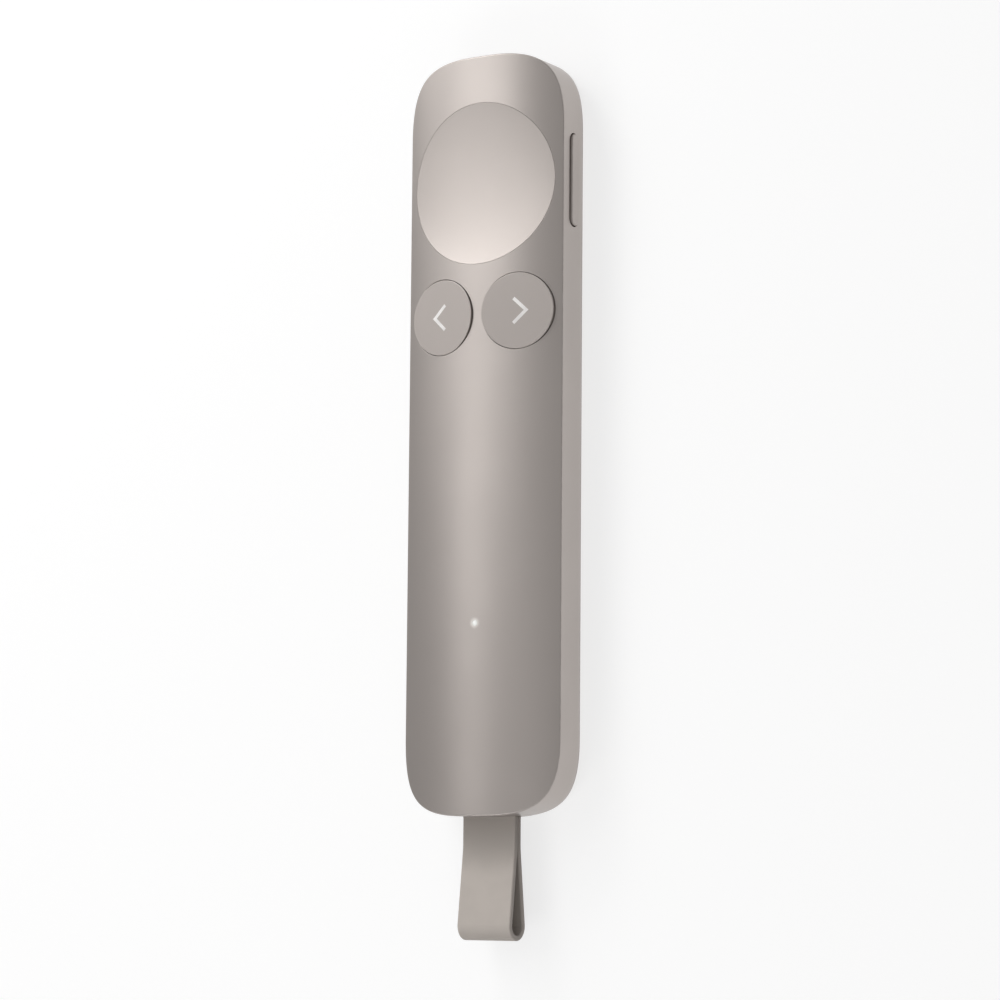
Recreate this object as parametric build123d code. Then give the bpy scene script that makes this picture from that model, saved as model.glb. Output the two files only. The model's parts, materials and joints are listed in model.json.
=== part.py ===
from build123d import *

import math
import os

# A wireless presentation clicker, in millimetres, lying on its back.
# X runs across it, Y along it towards the round pointer button, Z out of its front.
# The origin is the centre of its flat back.

# Housing
body_length = 131.0
body_width = 31.1
body_thickness = 11.3  # at the crown of the front
crown_rise = 2.6  # height of the crown above the long edges of the front
corner_size = 13.3  # length of a rounded corner along each side
corner_fullness = 0.76  # reach of the corner curve's handles, in corner sizes
back_rounding = 3.2
front_edge_rounding = 0.3
wall = 1.1
back_wall = 1.2
parting_height = 2.2  # where the rear cover ends and the front shell begins
parting_gap = 0.08
lip_height = 0.9  # the rear cover's lip, inside the front shell
lip_thickness = 0.8
lip_clearance = 0.1
snap_length = 6.0
snap_height = 0.35
snap_bite = 0.2  # how far a snap bead stands into the wall
snap_clearance = 0.05
snap_spread = 25.0  # distance of the snap beads from mid length

# Pointer button, a round dished cap
pointer_rim = 1.41  # front left between the button and each side
pointer_end_margin = 8.31  # front left between the button and the end
pointer_seam = 0.11
pointer_dish_depth = 1.3
pointer_cap_thickness = 1.2
pointer_stem_radius = 1.5

# Back and next buttons, flat round caps on the slope of the crown
nav_rim = 1.23
nav_spacing = 1.76  # front left between the two buttons
nav_to_pointer = 1.93
nav_seam = 0.12
nav_cap_thickness = 1.9
nav_edge_rounding = 0.4
nav_stem_radius = 0.9
legend_height = 4.3
legend_width = 2.35
legend_stroke = 0.6
legend_depth = 0.25
legend_shift = 0.5  # outward from the middle of the cap

# Hooks under the front that keep the caps in
hook_reach = 0.8
hook_root = 1.2
hook_root_depth = 0.6  # from the front to where the hook grows out of the cap
hook_thickness = 0.7
hook_width = 4.4
hook_clearance = 0.1

# Side key
key_length = 16.3  # its opening
key_width = 2.8
key_height = 5.25  # above the back
key_seam = 0.2
key_proud = 0.4  # how far it stands out of the side, more than it travels
key_edge_rounding = 0.3
key_flange_reach = 0.4
key_flange_thickness = 0.6
key_stem_radius = 0.5

# Status light
light_diameter = 0.95
light_from_end = 32.62  # from the strap's end of the housing
light_clearance = 0.02
light_flange_diameter = 2.4
light_flange_thickness = 0.7
light_flange_clearance = 0.05
light_to_led = 0.15
led_length = 1.6
led_width = 0.8
led_height = 0.55

# Switches: a low frame with a recess, and a metal snap dome that stands in it
button_travel = 0.3
stem_gap = 0.05  # from a stem to its dome at rest
recess_room = 0.05  # depth of a recess beyond the travel
switch_size = 4.8
switch_height = 0.55
switch_recess_radius = 2.0
dome_radius = 1.85
dome_rise = 0.55
dome_sheet = 0.1
side_switch_length = 4.6
side_switch_width = 1.7
side_switch_height = 1.4
side_recess_radius = 0.72
side_dome_radius = 0.64
side_dome_rise = 0.5
side_switch_setback = 0.9  # from the board's edge
side_switch_clearance = 0.1  # to the notch in the board

# Battery and its leads
battery_length = 38.0
battery_width = 18.0
battery_thickness = 3.8
battery_rounding = 0.8
battery_pad_thickness = 0.2
battery_pad_margin = 2.0
battery_headroom = 0.8
battery_setback = 2.0  # from the charge port
cell_tab_length = 2.6
cell_tab_width = 12.0
cell_tab_thickness = 2.0
lead_diameter = 0.7
lead_spacing = 1.5
lead_run = 2.2
lead_bend_radius = 2.3
connector_length = 3.2
connector_width = 5.0
connector_height = 1.5

# Main board, its posts and screws
board_thickness = 0.8
board_margin = 1.25  # from the wall
board_to_bay = 0.3
board_hole_radius = 0.95
screw_head_radius = 1.4
screw_head_height = 0.9
screw_shank_radius = 0.78
screw_reach = 3.0  # above the board's underside
screw_clearance = 0.02
screw_tip_room = 0.1
screw_slot_length = 1.7
screw_slot_width = 0.35
screw_slot_depth = 0.4
post_radius = 1.7
post_spread = 11.0  # from the middle line, beside the buttons and the battery
end_post_spread = 9.0  # at the pointer's end
end_post_margin = 5.5  # from that end of the housing
middle_post_drop = 13.05  # from the pointer's centre
lower_post_setback = 9.4  # from the board's lower end

# Receiver and its bay
receiver_width = 14.0
receiver_height = 3.9
receiver_length = 14.7
receiver_centre = 5.2  # above the back
receiver_rounding = 0.9
receiver_wall = 0.55
receiver_bulkhead = 0.8
receiver_clearance = 0.1
receiver_nose_thickness = 0.8
receiver_fit = 0.05
receiver_board_thickness = 0.6
receiver_board_margin = 0.25
receiver_chip_size = 4.0
receiver_chip_height = 0.8
bay_wall = 0.8
bay_end_gap = 0.2
bay_rib_width = 1.0
bay_rib_length = 12.0

# Plug and socket
plug_width = 8.25
plug_height = 2.4
plug_length = 6.65  # outside the receiver's nose
plug_root = 1.6
plug_sheet = 0.2
plug_core_setback = 0.2
plug_core_clearance = 0.02
socket_clearance_width = 0.045
socket_clearance_height = 0.08
socket_sheet = 0.3
socket_length = 7.35
socket_depth = 6.5  # from the mouth to the tongue's block
socket_hole_clearance = 0.1
socket_ear_width = 1.4
socket_ear_length = 1.5
socket_ear_sheet = 0.3
socket_ear_spread = 1.8
notch_clearance = 0.15
tongue_width = 6.69
tongue_thickness = 0.7
tongue_length = 5.6
tongue_clearance = 0.1
tongue_tip_room = 0.4

# Strap
strap_width = 10.6
strap_band = 0.95
strap_neck_length = 4.5  # outside the housing, where both strands run together
strap_length = 20.8  # outside the housing
strap_belly_radius = 2.5
strap_flare_radius = 12.0
strap_edge_rounding = 0.2
strap_slot_clearance = 0.12
strap_side_clearance = 0.15
strap_eye_clearance = 0.15
strap_pin_radius = 0.5
strap_pin_clearance = 0.02
strap_pin_setback = 2.6  # from the end face
strap_pin_margin = 0.6  # from the pin's ends to the receiver's sides

# Small parts on the board: width, length and height
radio_chip_size = (6.0, 6.0, 0.9)
motion_sensor_size = (3.0, 2.5, 0.85)
charger_chip_size = (3.0, 3.0, 0.75)
chip_antenna_size = (5.0, 1.6, 1.1)
chip_edge = 0.12
chip_spread = 6.0  # from the middle line
radio_drop = 6.0  # from the pointer's centre, under the board
sensor_drop = 20.0  # from the back and next buttons
charger_rise = 9.0  # from the status light
antenna_margin = 4.6  # from the end of the housing

# Places that follow from the values above
half_length = body_length / 2
half_width = body_width / 2
end_y = -half_length
inner_side = half_width - wall
crown_radius = (half_width**2 + crown_rise**2) / (2 * crown_rise)
crown_centre = body_thickness - crown_radius
far = 2 * body_length  # longer than anything that a tool has to pass through

pointer_radius = half_width - pointer_rim
pointer_y = half_length - pointer_end_margin - pointer_radius
nav_radius = (half_width - nav_rim - nav_spacing / 2) / 2
nav_x = nav_spacing / 2 + nav_radius
nav_y = pointer_y - pointer_radius - nav_to_pointer - nav_radius
nav_tilt = math.asin(nav_x / crown_radius)
light_y = end_y + light_from_end

battery_bottom = back_wall + battery_pad_thickness
battery_middle = battery_bottom + battery_thickness / 2
board_bottom = battery_bottom + battery_thickness + battery_headroom
board_top = board_bottom + board_thickness
recess_depth = button_travel + recess_room
dome_top = switch_height - recess_depth + dome_rise
stem_foot = board_top + dome_top + stem_gap

nose_y = end_y + receiver_length
bay_stop_y = nose_y + bay_end_gap
bay_end_y = bay_stop_y + bay_wall
socket_mouth_y = bay_stop_y + receiver_clearance
socket_end_y = socket_mouth_y + socket_length
socket_width = plug_width + 2 * (socket_clearance_width + socket_sheet)
socket_height = plug_height + 2 * (socket_clearance_height + socket_sheet)
board_end_y = bay_end_y + board_to_bay
board_side = inner_side - board_margin
side_switch_x = board_side - side_switch_setback - side_switch_height
battery_y = socket_end_y + battery_setback + battery_length / 2
cell_tab_y = battery_y + battery_length / 2
lead_y = cell_tab_y + cell_tab_length
connector_y = lead_y + 3 * lead_run

strap_eye_radius = strap_pin_radius + strap_pin_clearance + strap_band
strap_pin_y = end_y + strap_pin_setback
receiver_hollow_y = strap_pin_y + strap_eye_radius + strap_eye_clearance + receiver_bulkhead


def crown_height(x):
    """Height of the front above the back, at a distance from the middle line."""
    return crown_centre + math.sqrt(crown_radius**2 - x**2)


def body_outline(inset):
    """Face of the housing's outline, moved in by the same amount all round."""
    x = half_width - inset
    y = half_length - inset
    size = corner_size - inset
    reach = corner_fullness * size
    corner = [(x, y - size), (x, y - size + reach), (x - size + reach, y), (x - size, y)]
    edges = []
    for side in (1, -1):
        edges.append(Line((side * x, size - y), (side * x, y - size)))
        edges.append(Line((size - x, side * y), (x - size, side * y)))
        for end in (1, -1):
            edges.append(Bezier(*[(side * across, end * along) for across, along in corner]))
    return make_face(edges)


def body_column(inset, bottom, top):
    """The housing's outline, moved in by an inset and raised between two heights."""
    return Pos(0, 0, bottom) * extrude(body_outline(inset), amount=top - bottom)


def crown_solid(depth):
    """Everything under a surface that runs at an even depth below the front."""
    return Pos(0, 0, crown_centre) * Rot(90, 0, 0) * Cylinder(crown_radius - depth, far)


def crown_layer(column, top, bottom):
    """The stretch of an upright column between two depths below the front."""
    return (column & crown_solid(top)) - crown_solid(bottom)


def box_between(x, y, z):
    """A box from three pairs of limits."""
    low = (min(x), min(y), min(z))
    size = [max(pair) - min(pair) for pair in (x, y, z)]
    return Pos(*low) * Box(*size, align=(Align.MIN, Align.MIN, Align.MIN))


def upright(x, y, radius, bottom, top):
    """A cylinder that stands on end."""
    return Pos(x, y, bottom) * Cylinder(radius, top - bottom, align=(Align.CENTER, Align.CENTER, Align.MIN))


def receiver_bar(section, start, end):
    """A section carried along Y, at the height of the receiver's middle."""
    place = Plane((0, start, receiver_centre), x_dir=(1, 0, 0), z_dir=(0, 1, 0))
    return extrude(place * section, amount=end - start)


def nav_plane(side):
    """Plane of a flat cap's face. It touches the crown at the cap's centre, and its own X points outward."""
    origin = (side * nav_x, nav_y, crown_height(nav_x))
    outward = (side * math.cos(nav_tilt), 0, -math.sin(nav_tilt))
    normal = (side * math.sin(nav_tilt), 0, math.cos(nav_tilt))
    return Plane(origin, x_dir=outward, z_dir=normal)


def key_plane(x):
    """Plane across the side key's path, its own X along the housing."""
    return Plane((x, pointer_y, key_height), x_dir=(0, 1, 0), z_dir=(1, 0, 0))


def key_bar(section, start, end):
    """A section of the side key carried along X."""
    return extrude(key_plane(start) * section, amount=end - start)


def cap_hook(x, y, opening_radius, cap_radius, direction):
    """A hook at a cap's edge that reaches under the front, towards the pointer's end or away from it."""
    across = (x - hook_width / 2, x + hook_width / 2)
    along = (y + direction * (cap_radius - hook_root), y + direction * (opening_radius + hook_reach))
    column = box_between(across, along, (0, far))
    foot = wall + hook_clearance + hook_thickness
    root = crown_layer(column & upright(x, y, cap_radius, 0, far), hook_root_depth, foot)
    return root + crown_layer(column, wall + hook_clearance, foot)


def housing():
    """The outside of the closed housing, as one solid."""
    blank = body_column(0, 0, body_thickness) & crown_solid(0)
    blank = fillet(blank.faces().sort_by(Axis.Z)[-1].edges(), front_edge_rounding)
    return fillet(blank.faces().sort_by(Axis.Z)[0].edges(), back_rounding)


def post_places():
    """Centres of the six screw posts."""
    places = []
    for side in (-1, 1):
        places.append((side * end_post_spread, half_length - end_post_margin))
        places.append((side * post_spread, pointer_y - middle_post_drop))
        places.append((side * post_spread, board_end_y + lower_post_setback))
    return places


def snap_beads(bite, grow):
    """Beads on the rear cover's lip or, with a clearance, the grooves that they snap into."""
    middle = parting_height + lip_height / 2
    root = inner_side - lip_clearance - lip_thickness / 2
    half = (snap_length / 2 + grow, snap_height / 2 + grow)
    beads = []
    for side in (-1, 1):
        for y in (-snap_spread, snap_spread):
            across = (side * root, side * (inner_side + bite))
            along = (y - half[0], y + half[0])
            beads.append(box_between(across, along, (middle - half[1], middle + half[1])))
    return beads


def receiver_channel():
    """Section of the passage that the receiver slides in."""
    width = receiver_width + 2 * receiver_clearance
    height = receiver_height + 2 * receiver_clearance
    return RectangleRounded(width, height, receiver_rounding + receiver_clearance)


def front_shell(outside):
    """Crowned front and sides, with the screw posts and the ribs over the receiver's bay."""
    shell = outside & body_column(-wall, parting_height + parting_gap, far)
    shell -= body_column(wall, 0, far) & crown_solid(wall)
    ceiling = crown_solid(wall / 2)
    bore_top = board_bottom + screw_reach + screw_tip_room
    for x, y in post_places():
        shell += upright(x, y, post_radius, board_top, body_thickness) & ceiling
        shell -= upright(x, y, screw_shank_radius + screw_clearance, board_top, bore_top)
    bay_top = receiver_centre + receiver_height / 2 + receiver_clearance + bay_wall
    for side in (-1, 1):
        across = (side * receiver_width / 2, side * (receiver_width / 2 - bay_rib_width))
        along = (end_y + wall / 2, end_y + wall + bay_rib_length)
        shell += box_between(across, along, (bay_top, body_thickness)) & ceiling
    shell -= upright(0, pointer_y, pointer_radius, board_top, far)
    for side in (-1, 1):
        shell -= upright(side * nav_x, nav_y, nav_radius, board_top, far)
    shell -= key_bar(SlotOverall(key_length, key_width), inner_side - wall, half_width + wall)
    shell -= upright(0, light_y, light_diameter / 2 + light_clearance, board_top, far)
    shell -= receiver_bar(receiver_channel(), end_y - wall, end_y + 2 * wall)
    for groove in snap_beads(snap_bite + snap_clearance, snap_clearance):
        shell -= groove
    return shell


def rear_cover(outside):
    """The back, a shallow tray whose lip snaps into the front shell."""
    tray = outside & body_column(-wall, 0, parting_height)
    tray += body_column(wall + lip_clearance, back_wall, parting_height + lip_height)
    for bead in snap_beads(snap_bite, 0):
        tray += bead
    tray -= body_column(wall + lip_clearance + lip_thickness, back_wall, far)
    bay_side = receiver_width / 2 + receiver_clearance + bay_wall + lip_clearance
    return tray - box_between((-bay_side, bay_side), (end_y, end_y + corner_size), (parting_height, far))


def above_dish(drop):
    """Everything above the pointer's dish, lowered by a drop.

    The dish hangs from the crown: its depth under it is greatest in the middle, and fades with
    the square of the distance from there to nothing at the rim.
    """
    steps = 12
    reach = half_width - pointer_rim / 2
    grid = [reach * (2 * step / steps - 1) for step in range(steps + 1)]
    rows = []
    for x in grid:
        row = []
        for y in grid:
            depth = pointer_dish_depth * (1 - (x**2 + y**2) / pointer_radius**2)
            row.append((x, pointer_y + y, crown_height(x) - depth - drop))
        rows.append(row)
    surface = Face.make_surface_from_array_of_points(rows, tol=0.001, min_deg=3, max_deg=5)
    return extrude(surface, amount=body_thickness, dir=(0, 0, 1))


def pointer_button():
    """The dished cap, with its hooks at both ends and the stem to its switch."""
    cap_radius = pointer_radius - pointer_seam
    cap = upright(0, pointer_y, cap_radius, board_top, body_thickness) & above_dish(pointer_cap_thickness)
    cap -= above_dish(0)
    for direction in (-1, 1):
        cap += cap_hook(0, pointer_y, pointer_radius, cap_radius, direction)
    roof = body_thickness - pointer_dish_depth - pointer_cap_thickness / 2
    return cap + upright(0, pointer_y, pointer_stem_radius, stem_foot, roof)


def nav_stem_x():
    """Distance from the middle line to the stem of a flat cap, under the middle of its lower face."""
    return nav_x - nav_cap_thickness * math.sin(nav_tilt)


def nav_legend(side):
    """The chevron inlaid in a cap's face, its tip outward."""
    tip = legend_shift + legend_width / 2
    back = legend_shift - legend_width / 2
    line = Polyline((back, legend_height / 2), (tip, 0), (back, -legend_height / 2))
    stroke = nav_plane(side) * trace(line, line_width=legend_stroke)
    return extrude(stroke, amount=-legend_depth)


def nav_button(side, legend):
    """A flat round cap, with its hooks, its stem and the pocket for its legend."""
    align = (Align.CENTER, Align.CENTER, Align.MAX)
    slab = nav_plane(side).location * Box(4 * nav_radius, 4 * nav_radius, nav_cap_thickness, align=align)
    cap = slab & upright(side * nav_x, nav_y, nav_radius - nav_seam, board_top, far)
    cap = fillet(cap.faces().sort_by(Axis.Z)[-1].edges(), nav_edge_rounding)
    for direction in (-1, 1):
        cap += cap_hook(side * nav_x, nav_y, nav_radius, nav_radius - nav_seam, direction)
    roof = crown_height(nav_x) - nav_cap_thickness / 2
    cap += upright(side * nav_stem_x(), nav_y, nav_stem_radius, stem_foot, roof)
    return cap - legend


def side_key():
    """The pill-shaped key, with its flange behind the wall and the stem to its switch."""
    flange_top = inner_side - hook_clearance
    flange_foot = flange_top - key_flange_thickness
    face = half_width + key_proud
    key = key_bar(SlotOverall(key_length - 2 * key_seam, key_width - 2 * key_seam), flange_foot, face)
    key = fillet(key.faces().sort_by(Axis.X)[-1].edges(), key_edge_rounding)
    flange = SlotOverall(key_length + 2 * key_flange_reach, key_width + 2 * key_flange_reach)
    key += key_bar(flange, flange_foot, flange_top)
    tip = side_switch_x + side_switch_height - recess_depth + side_dome_rise + stem_gap
    return key + key_bar(Circle(key_stem_radius), tip, flange_top)


def status_light_pipe():
    """A clear rod through the front, with a flange that seats under it."""
    foot = board_top + led_height + light_to_led
    rod = upright(0, light_y, light_diameter / 2, foot, far) & crown_solid(0)
    top = body_thickness - wall - light_flange_clearance
    return rod + upright(0, light_y, light_flange_diameter / 2, top - light_flange_thickness, top)


def status_led():
    """The small light on the board, a body with a round lens."""
    body = box_between(
        (-led_length / 2, led_length / 2),
        (light_y - led_width / 2, light_y + led_width / 2),
        (board_top, board_top + led_height / 2),
    )
    return body + upright(0, light_y, led_width / 2 - chip_edge / 2, board_top, board_top + led_height)


def switch_frame(place, length, width, height, recess_radius):
    """A switch's frame with its round recess, standing on a place."""
    align = (Align.CENTER, Align.CENTER, Align.MIN)
    frame = Box(length, width, height, align=align)
    return place * (frame - upright(0, 0, recess_radius, height - recess_depth, height))


def snap_dome(place, radius, rise, floor):
    """A thin metal dome that stands on the floor of a switch's recess."""
    sphere_radius = (radius**2 + rise**2) / (2 * rise)
    sphere = Pos(0, 0, floor + rise - sphere_radius)
    shell = sphere * Sphere(sphere_radius) - sphere * Sphere(sphere_radius - dome_sheet)
    return place * (shell & upright(0, 0, 2 * radius, floor, floor + 2 * rise))


def main_board():
    """The board, notched for the charge port and the side switch, and drilled for its screws."""
    board = body_column(wall + board_margin, board_bottom, board_top)
    board &= box_between((-half_width, half_width), (board_end_y, half_length), (0, far))
    port_side = socket_width / 2 + notch_clearance
    board -= box_between((-port_side, port_side), (end_y, socket_end_y + notch_clearance), (0, far))
    switch_end = side_switch_length / 2 + side_switch_clearance
    along = (pointer_y - switch_end, pointer_y + switch_end)
    board -= box_between((side_switch_x - side_switch_clearance, half_width), along, (0, far))
    for x, y in post_places():
        board -= upright(x, y, board_hole_radius, 0, far)
    return board


def board_screws():
    """Six pan-headed screws, from under the board into the posts."""
    screws = []
    for x, y in post_places():
        head = upright(x, y, screw_head_radius, board_bottom - screw_head_height, board_bottom)
        cross = Box(screw_slot_length, screw_slot_width, 2 * screw_slot_depth)
        cross += Box(screw_slot_width, screw_slot_length, 2 * screw_slot_depth)
        head -= Pos(x, y, board_bottom - screw_head_height) * cross
        screws.append(head + upright(x, y, screw_shank_radius, board_bottom, board_bottom + screw_reach))
    return Compound(children=screws)


def board_chip(size, x, y, base, direction):
    """A square-edged chip on one side of the board, its outer edges eased."""
    width, length, height = size
    middle = base + direction * height / 2
    chip = Pos(x, y, middle) * Box(width, length, height)
    outer = chip.faces().sort_by(Axis.Z)[-1 if direction > 0 else 0]
    return chamfer(outer.edges(), chip_edge)


def battery():
    """A flat pouch cell with the tab that carries its protection board."""
    cell = Pos(0, battery_y, battery_middle) * Box(battery_width, battery_length, battery_thickness)
    cell = fillet(cell.edges(), battery_rounding)
    across = (-cell_tab_width / 2, cell_tab_width / 2)
    heights = (battery_middle - cell_tab_thickness / 2, battery_middle + cell_tab_thickness / 2)
    return cell + box_between(across, (cell_tab_y - battery_rounding, lead_y), heights)


def battery_pad():
    """The adhesive pad between the battery and the back."""
    x = battery_width / 2 - battery_pad_margin
    y = battery_length / 2 - battery_pad_margin
    return box_between((-x, x), (battery_y - y, battery_y + y), (back_wall, battery_bottom))


def battery_connector():
    """The two-way connector under the board."""
    x = connector_width / 2
    return box_between(
        (-x, x),
        (connector_y, connector_y + connector_length),
        (board_bottom - connector_height, board_bottom),
    )


def battery_leads():
    """Two insulated wires from the cell's tab up to the connector."""
    low = battery_middle
    high = board_bottom - connector_height / 2
    leads = []
    for x in (-lead_spacing / 2, lead_spacing / 2):
        route = [(x, lead_y, low), (x, lead_y + lead_run, low)]
        route += [(x, lead_y + 2 * lead_run, high), (x, connector_y, high)]
        path = FilletPolyline(*route, radius=lead_bend_radius)
        section = Plane(route[0], x_dir=(1, 0, 0), z_dir=(0, 1, 0)) * Circle(lead_diameter / 2)
        leads.append(sweep(section, path=path))
    return Compound(children=leads)


def receiver_bay():
    """The sleeve that the receiver slides into, with a stop wall round the charge port."""
    width = receiver_width + 2 * (receiver_clearance + bay_wall)
    height = receiver_height + 2 * (receiver_clearance + bay_wall)
    sleeve = receiver_bar(RectangleRounded(width, height, receiver_rounding), end_y, bay_end_y)
    sleeve &= body_column(wall, 0, far)
    sleeve -= receiver_bar(receiver_channel(), end_y, bay_stop_y)
    hole = (socket_width + 2 * socket_hole_clearance, socket_height + 2 * socket_hole_clearance)
    return sleeve - receiver_bar(SlotOverall(*hole), end_y, bay_end_y + bay_wall)


def charge_port_shell():
    """The socket's metal shell, with four ears that are soldered under the board."""
    shell = receiver_bar(SlotOverall(socket_width, socket_height), socket_mouth_y, socket_end_y)
    middle = (socket_mouth_y + socket_end_y) / 2
    for side in (-1, 1):
        for end in (-1, 1):
            outer = socket_width / 2 + socket_ear_width / 2
            y = middle + end * socket_ear_spread
            shell += box_between(
                (side * (outer - socket_ear_width), side * outer),
                (y - socket_ear_length / 2, y + socket_ear_length / 2),
                (board_bottom - socket_ear_sheet, board_bottom),
            )
    inside = SlotOverall(socket_width - 2 * socket_sheet, socket_height - 2 * socket_sheet)
    return shell - receiver_bar(inside, socket_mouth_y, socket_end_y)


def charge_port_tongue():
    """The block at the back of the socket, with the tongue that carries the contacts."""
    width = socket_width - 2 * socket_sheet - 2 * plug_core_clearance
    height = socket_height - 2 * socket_sheet - 2 * plug_core_clearance
    face_y = socket_mouth_y + socket_depth
    block = receiver_bar(SlotOverall(width, height), face_y, socket_end_y)
    return block + receiver_bar(Rectangle(tongue_width, tongue_thickness), face_y - tongue_length, face_y)


def strap_chamber():
    """Room in the receiver's end for the strap's eye, and the slot that its neck leaves by."""
    width = strap_width + 2 * strap_side_clearance
    room = Rot(0, 90, 0) * Cylinder(strap_eye_radius + strap_eye_clearance, width)
    gap = strap_band + strap_slot_clearance
    across = (-width / 2, width / 2)
    slot = box_between(across, (end_y - wall, strap_pin_y), (receiver_centre - gap, receiver_centre + gap))
    return Pos(0, strap_pin_y, receiver_centre) * room + slot


def pin_bar(radius, length):
    """A round bar along X at the strap pin's place, from its blind end towards +X."""
    start = strap_pin_margin - receiver_width / 2
    place = Plane((start, strap_pin_y, receiver_centre), x_dir=(0, 1, 0), z_dir=(1, 0, 0))
    return extrude(place * Circle(radius), amount=length)


def receiver_body(outside):
    """The receiver's housing, whose end face closes the clicker flush."""
    section = RectangleRounded(receiver_width, receiver_height, receiver_rounding)
    body = receiver_bar(section, end_y - wall, nose_y) & outside
    inner = (receiver_width - 2 * receiver_wall, receiver_height - 2 * receiver_wall)
    body -= receiver_bar(RectangleRounded(*inner, receiver_wall), receiver_hollow_y, nose_y + wall)
    body -= strap_chamber()
    return body - pin_bar(strap_pin_radius + strap_pin_clearance, receiver_width)


def strap_pin():
    """The cross pin that the strap's eye goes round."""
    return pin_bar(strap_pin_radius, receiver_width - 2 * strap_pin_margin)


def receiver_nose():
    """The plate that closes the receiver round its plug."""
    inner = [size - 2 * (receiver_wall + receiver_fit) for size in (receiver_width, receiver_height)]
    section = RectangleRounded(*inner, receiver_wall - receiver_fit)
    nose = receiver_bar(section, nose_y - receiver_nose_thickness, nose_y)
    hole = SlotOverall(plug_width + 2 * plug_core_clearance, plug_height + 2 * plug_core_clearance)
    return nose - receiver_bar(hole, nose_y - plug_root, nose_y + wall)


def receiver_plug_shell():
    """The plug's metal shell."""
    shell = receiver_bar(SlotOverall(plug_width, plug_height), nose_y - plug_root, nose_y + plug_length)
    inside = SlotOverall(plug_width - 2 * plug_sheet, plug_height - 2 * plug_sheet)
    return shell - receiver_bar(inside, nose_y - plug_root, nose_y + plug_length)


def receiver_plug_core():
    """The insulator in the plug, slotted for the socket's tongue."""
    margin = plug_sheet + plug_core_clearance
    section = SlotOverall(plug_width - 2 * margin, plug_height - 2 * margin)
    tip = nose_y + plug_length - plug_core_setback
    core = receiver_bar(section, nose_y - plug_root, tip)
    slot = Rectangle(tongue_width + 2 * tongue_clearance, tongue_thickness + 2 * tongue_clearance)
    slot_end = socket_mouth_y + socket_depth - tongue_length - tongue_tip_room
    return core - receiver_bar(slot, slot_end, tip)


def receiver_board():
    """The receiver's small board, from the bulkhead to the plug."""
    x = receiver_width / 2 - receiver_wall - receiver_board_margin
    half = receiver_board_thickness / 2
    along = (receiver_hollow_y + receiver_board_margin, nose_y - plug_root)
    return box_between((-x, x), along, (receiver_centre - half, receiver_centre + half))


def receiver_chip():
    """The radio chip on the receiver's board."""
    y = (receiver_hollow_y + nose_y - plug_root) / 2
    size = (receiver_chip_size, receiver_chip_size, receiver_chip_height)
    return board_chip(size, 0, y, receiver_centre + receiver_board_thickness / 2, 1)


def strap_loop():
    """One endless band: an eye round the pin, a neck of two strands, and a teardrop loop.

    Each side of the teardrop is a straight run that touches the round belly, and meets the neck
    in a wide arc.
    """
    neck_y = end_y - strap_neck_length
    tip_y = end_y - strap_length
    belly_y = tip_y + strap_belly_radius
    along = neck_y - belly_y
    rise = strap_band + strap_flare_radius
    reach = math.asin((strap_belly_radius + strap_flare_radius) / math.hypot(along, rise))
    slope = reach - math.atan2(rise, along)
    sine = math.sin(slope)
    cosine = math.cos(slope)
    inner_radius = strap_belly_radius - strap_band
    belly = (belly_y + strap_belly_radius * sine, strap_belly_radius * cosine)
    inner = (belly_y + inner_radius * sine, inner_radius * cosine)
    crotch = (inner[0] + inner[1] * cosine / sine, 0)
    flare = (neck_y - strap_flare_radius * sine, rise - strap_flare_radius * cosine)
    half = slope / 2
    bend = (neck_y - strap_flare_radius * math.sin(half), rise - strap_flare_radius * math.cos(half))
    edges = [ThreePointArc(belly, (tip_y, 0), (belly[0], -belly[1]))]
    hole_edges = [ThreePointArc(inner, (tip_y + strap_band, 0), (inner[0], -inner[1]))]
    edges.append(Line((strap_pin_y, strap_band), (strap_pin_y, -strap_band)))
    for side in (1, -1):
        edges.append(Line((belly[0], side * belly[1]), (flare[0], side * flare[1])))
        mirrored = [(y, side * z) for y, z in (flare, bend, (neck_y, strap_band))]
        edges.append(ThreePointArc(*mirrored))
        edges.append(Line((neck_y, side * strap_band), (strap_pin_y, side * strap_band)))
        hole_edges.append(Line((inner[0], side * inner[1]), crotch))
    eye = Pos(strap_pin_y, 0) * Circle(strap_eye_radius)
    pin_hole = Pos(strap_pin_y, 0) * Circle(strap_pin_radius + strap_pin_clearance)
    section = make_face(edges) + eye - make_face(hole_edges) - pin_hole
    place = Plane((-strap_width / 2, 0, receiver_centre), x_dir=(0, 1, 0), z_dir=(1, 0, 0))
    strap = extrude(place * section, amount=strap_width)
    side_faces = strap.faces().filter_by(Axis.X)
    rims = [edge for face in side_faces for edge in face.edges() if edge.center().Y < end_y]
    return fillet(rims, strap_edge_rounding)


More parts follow.
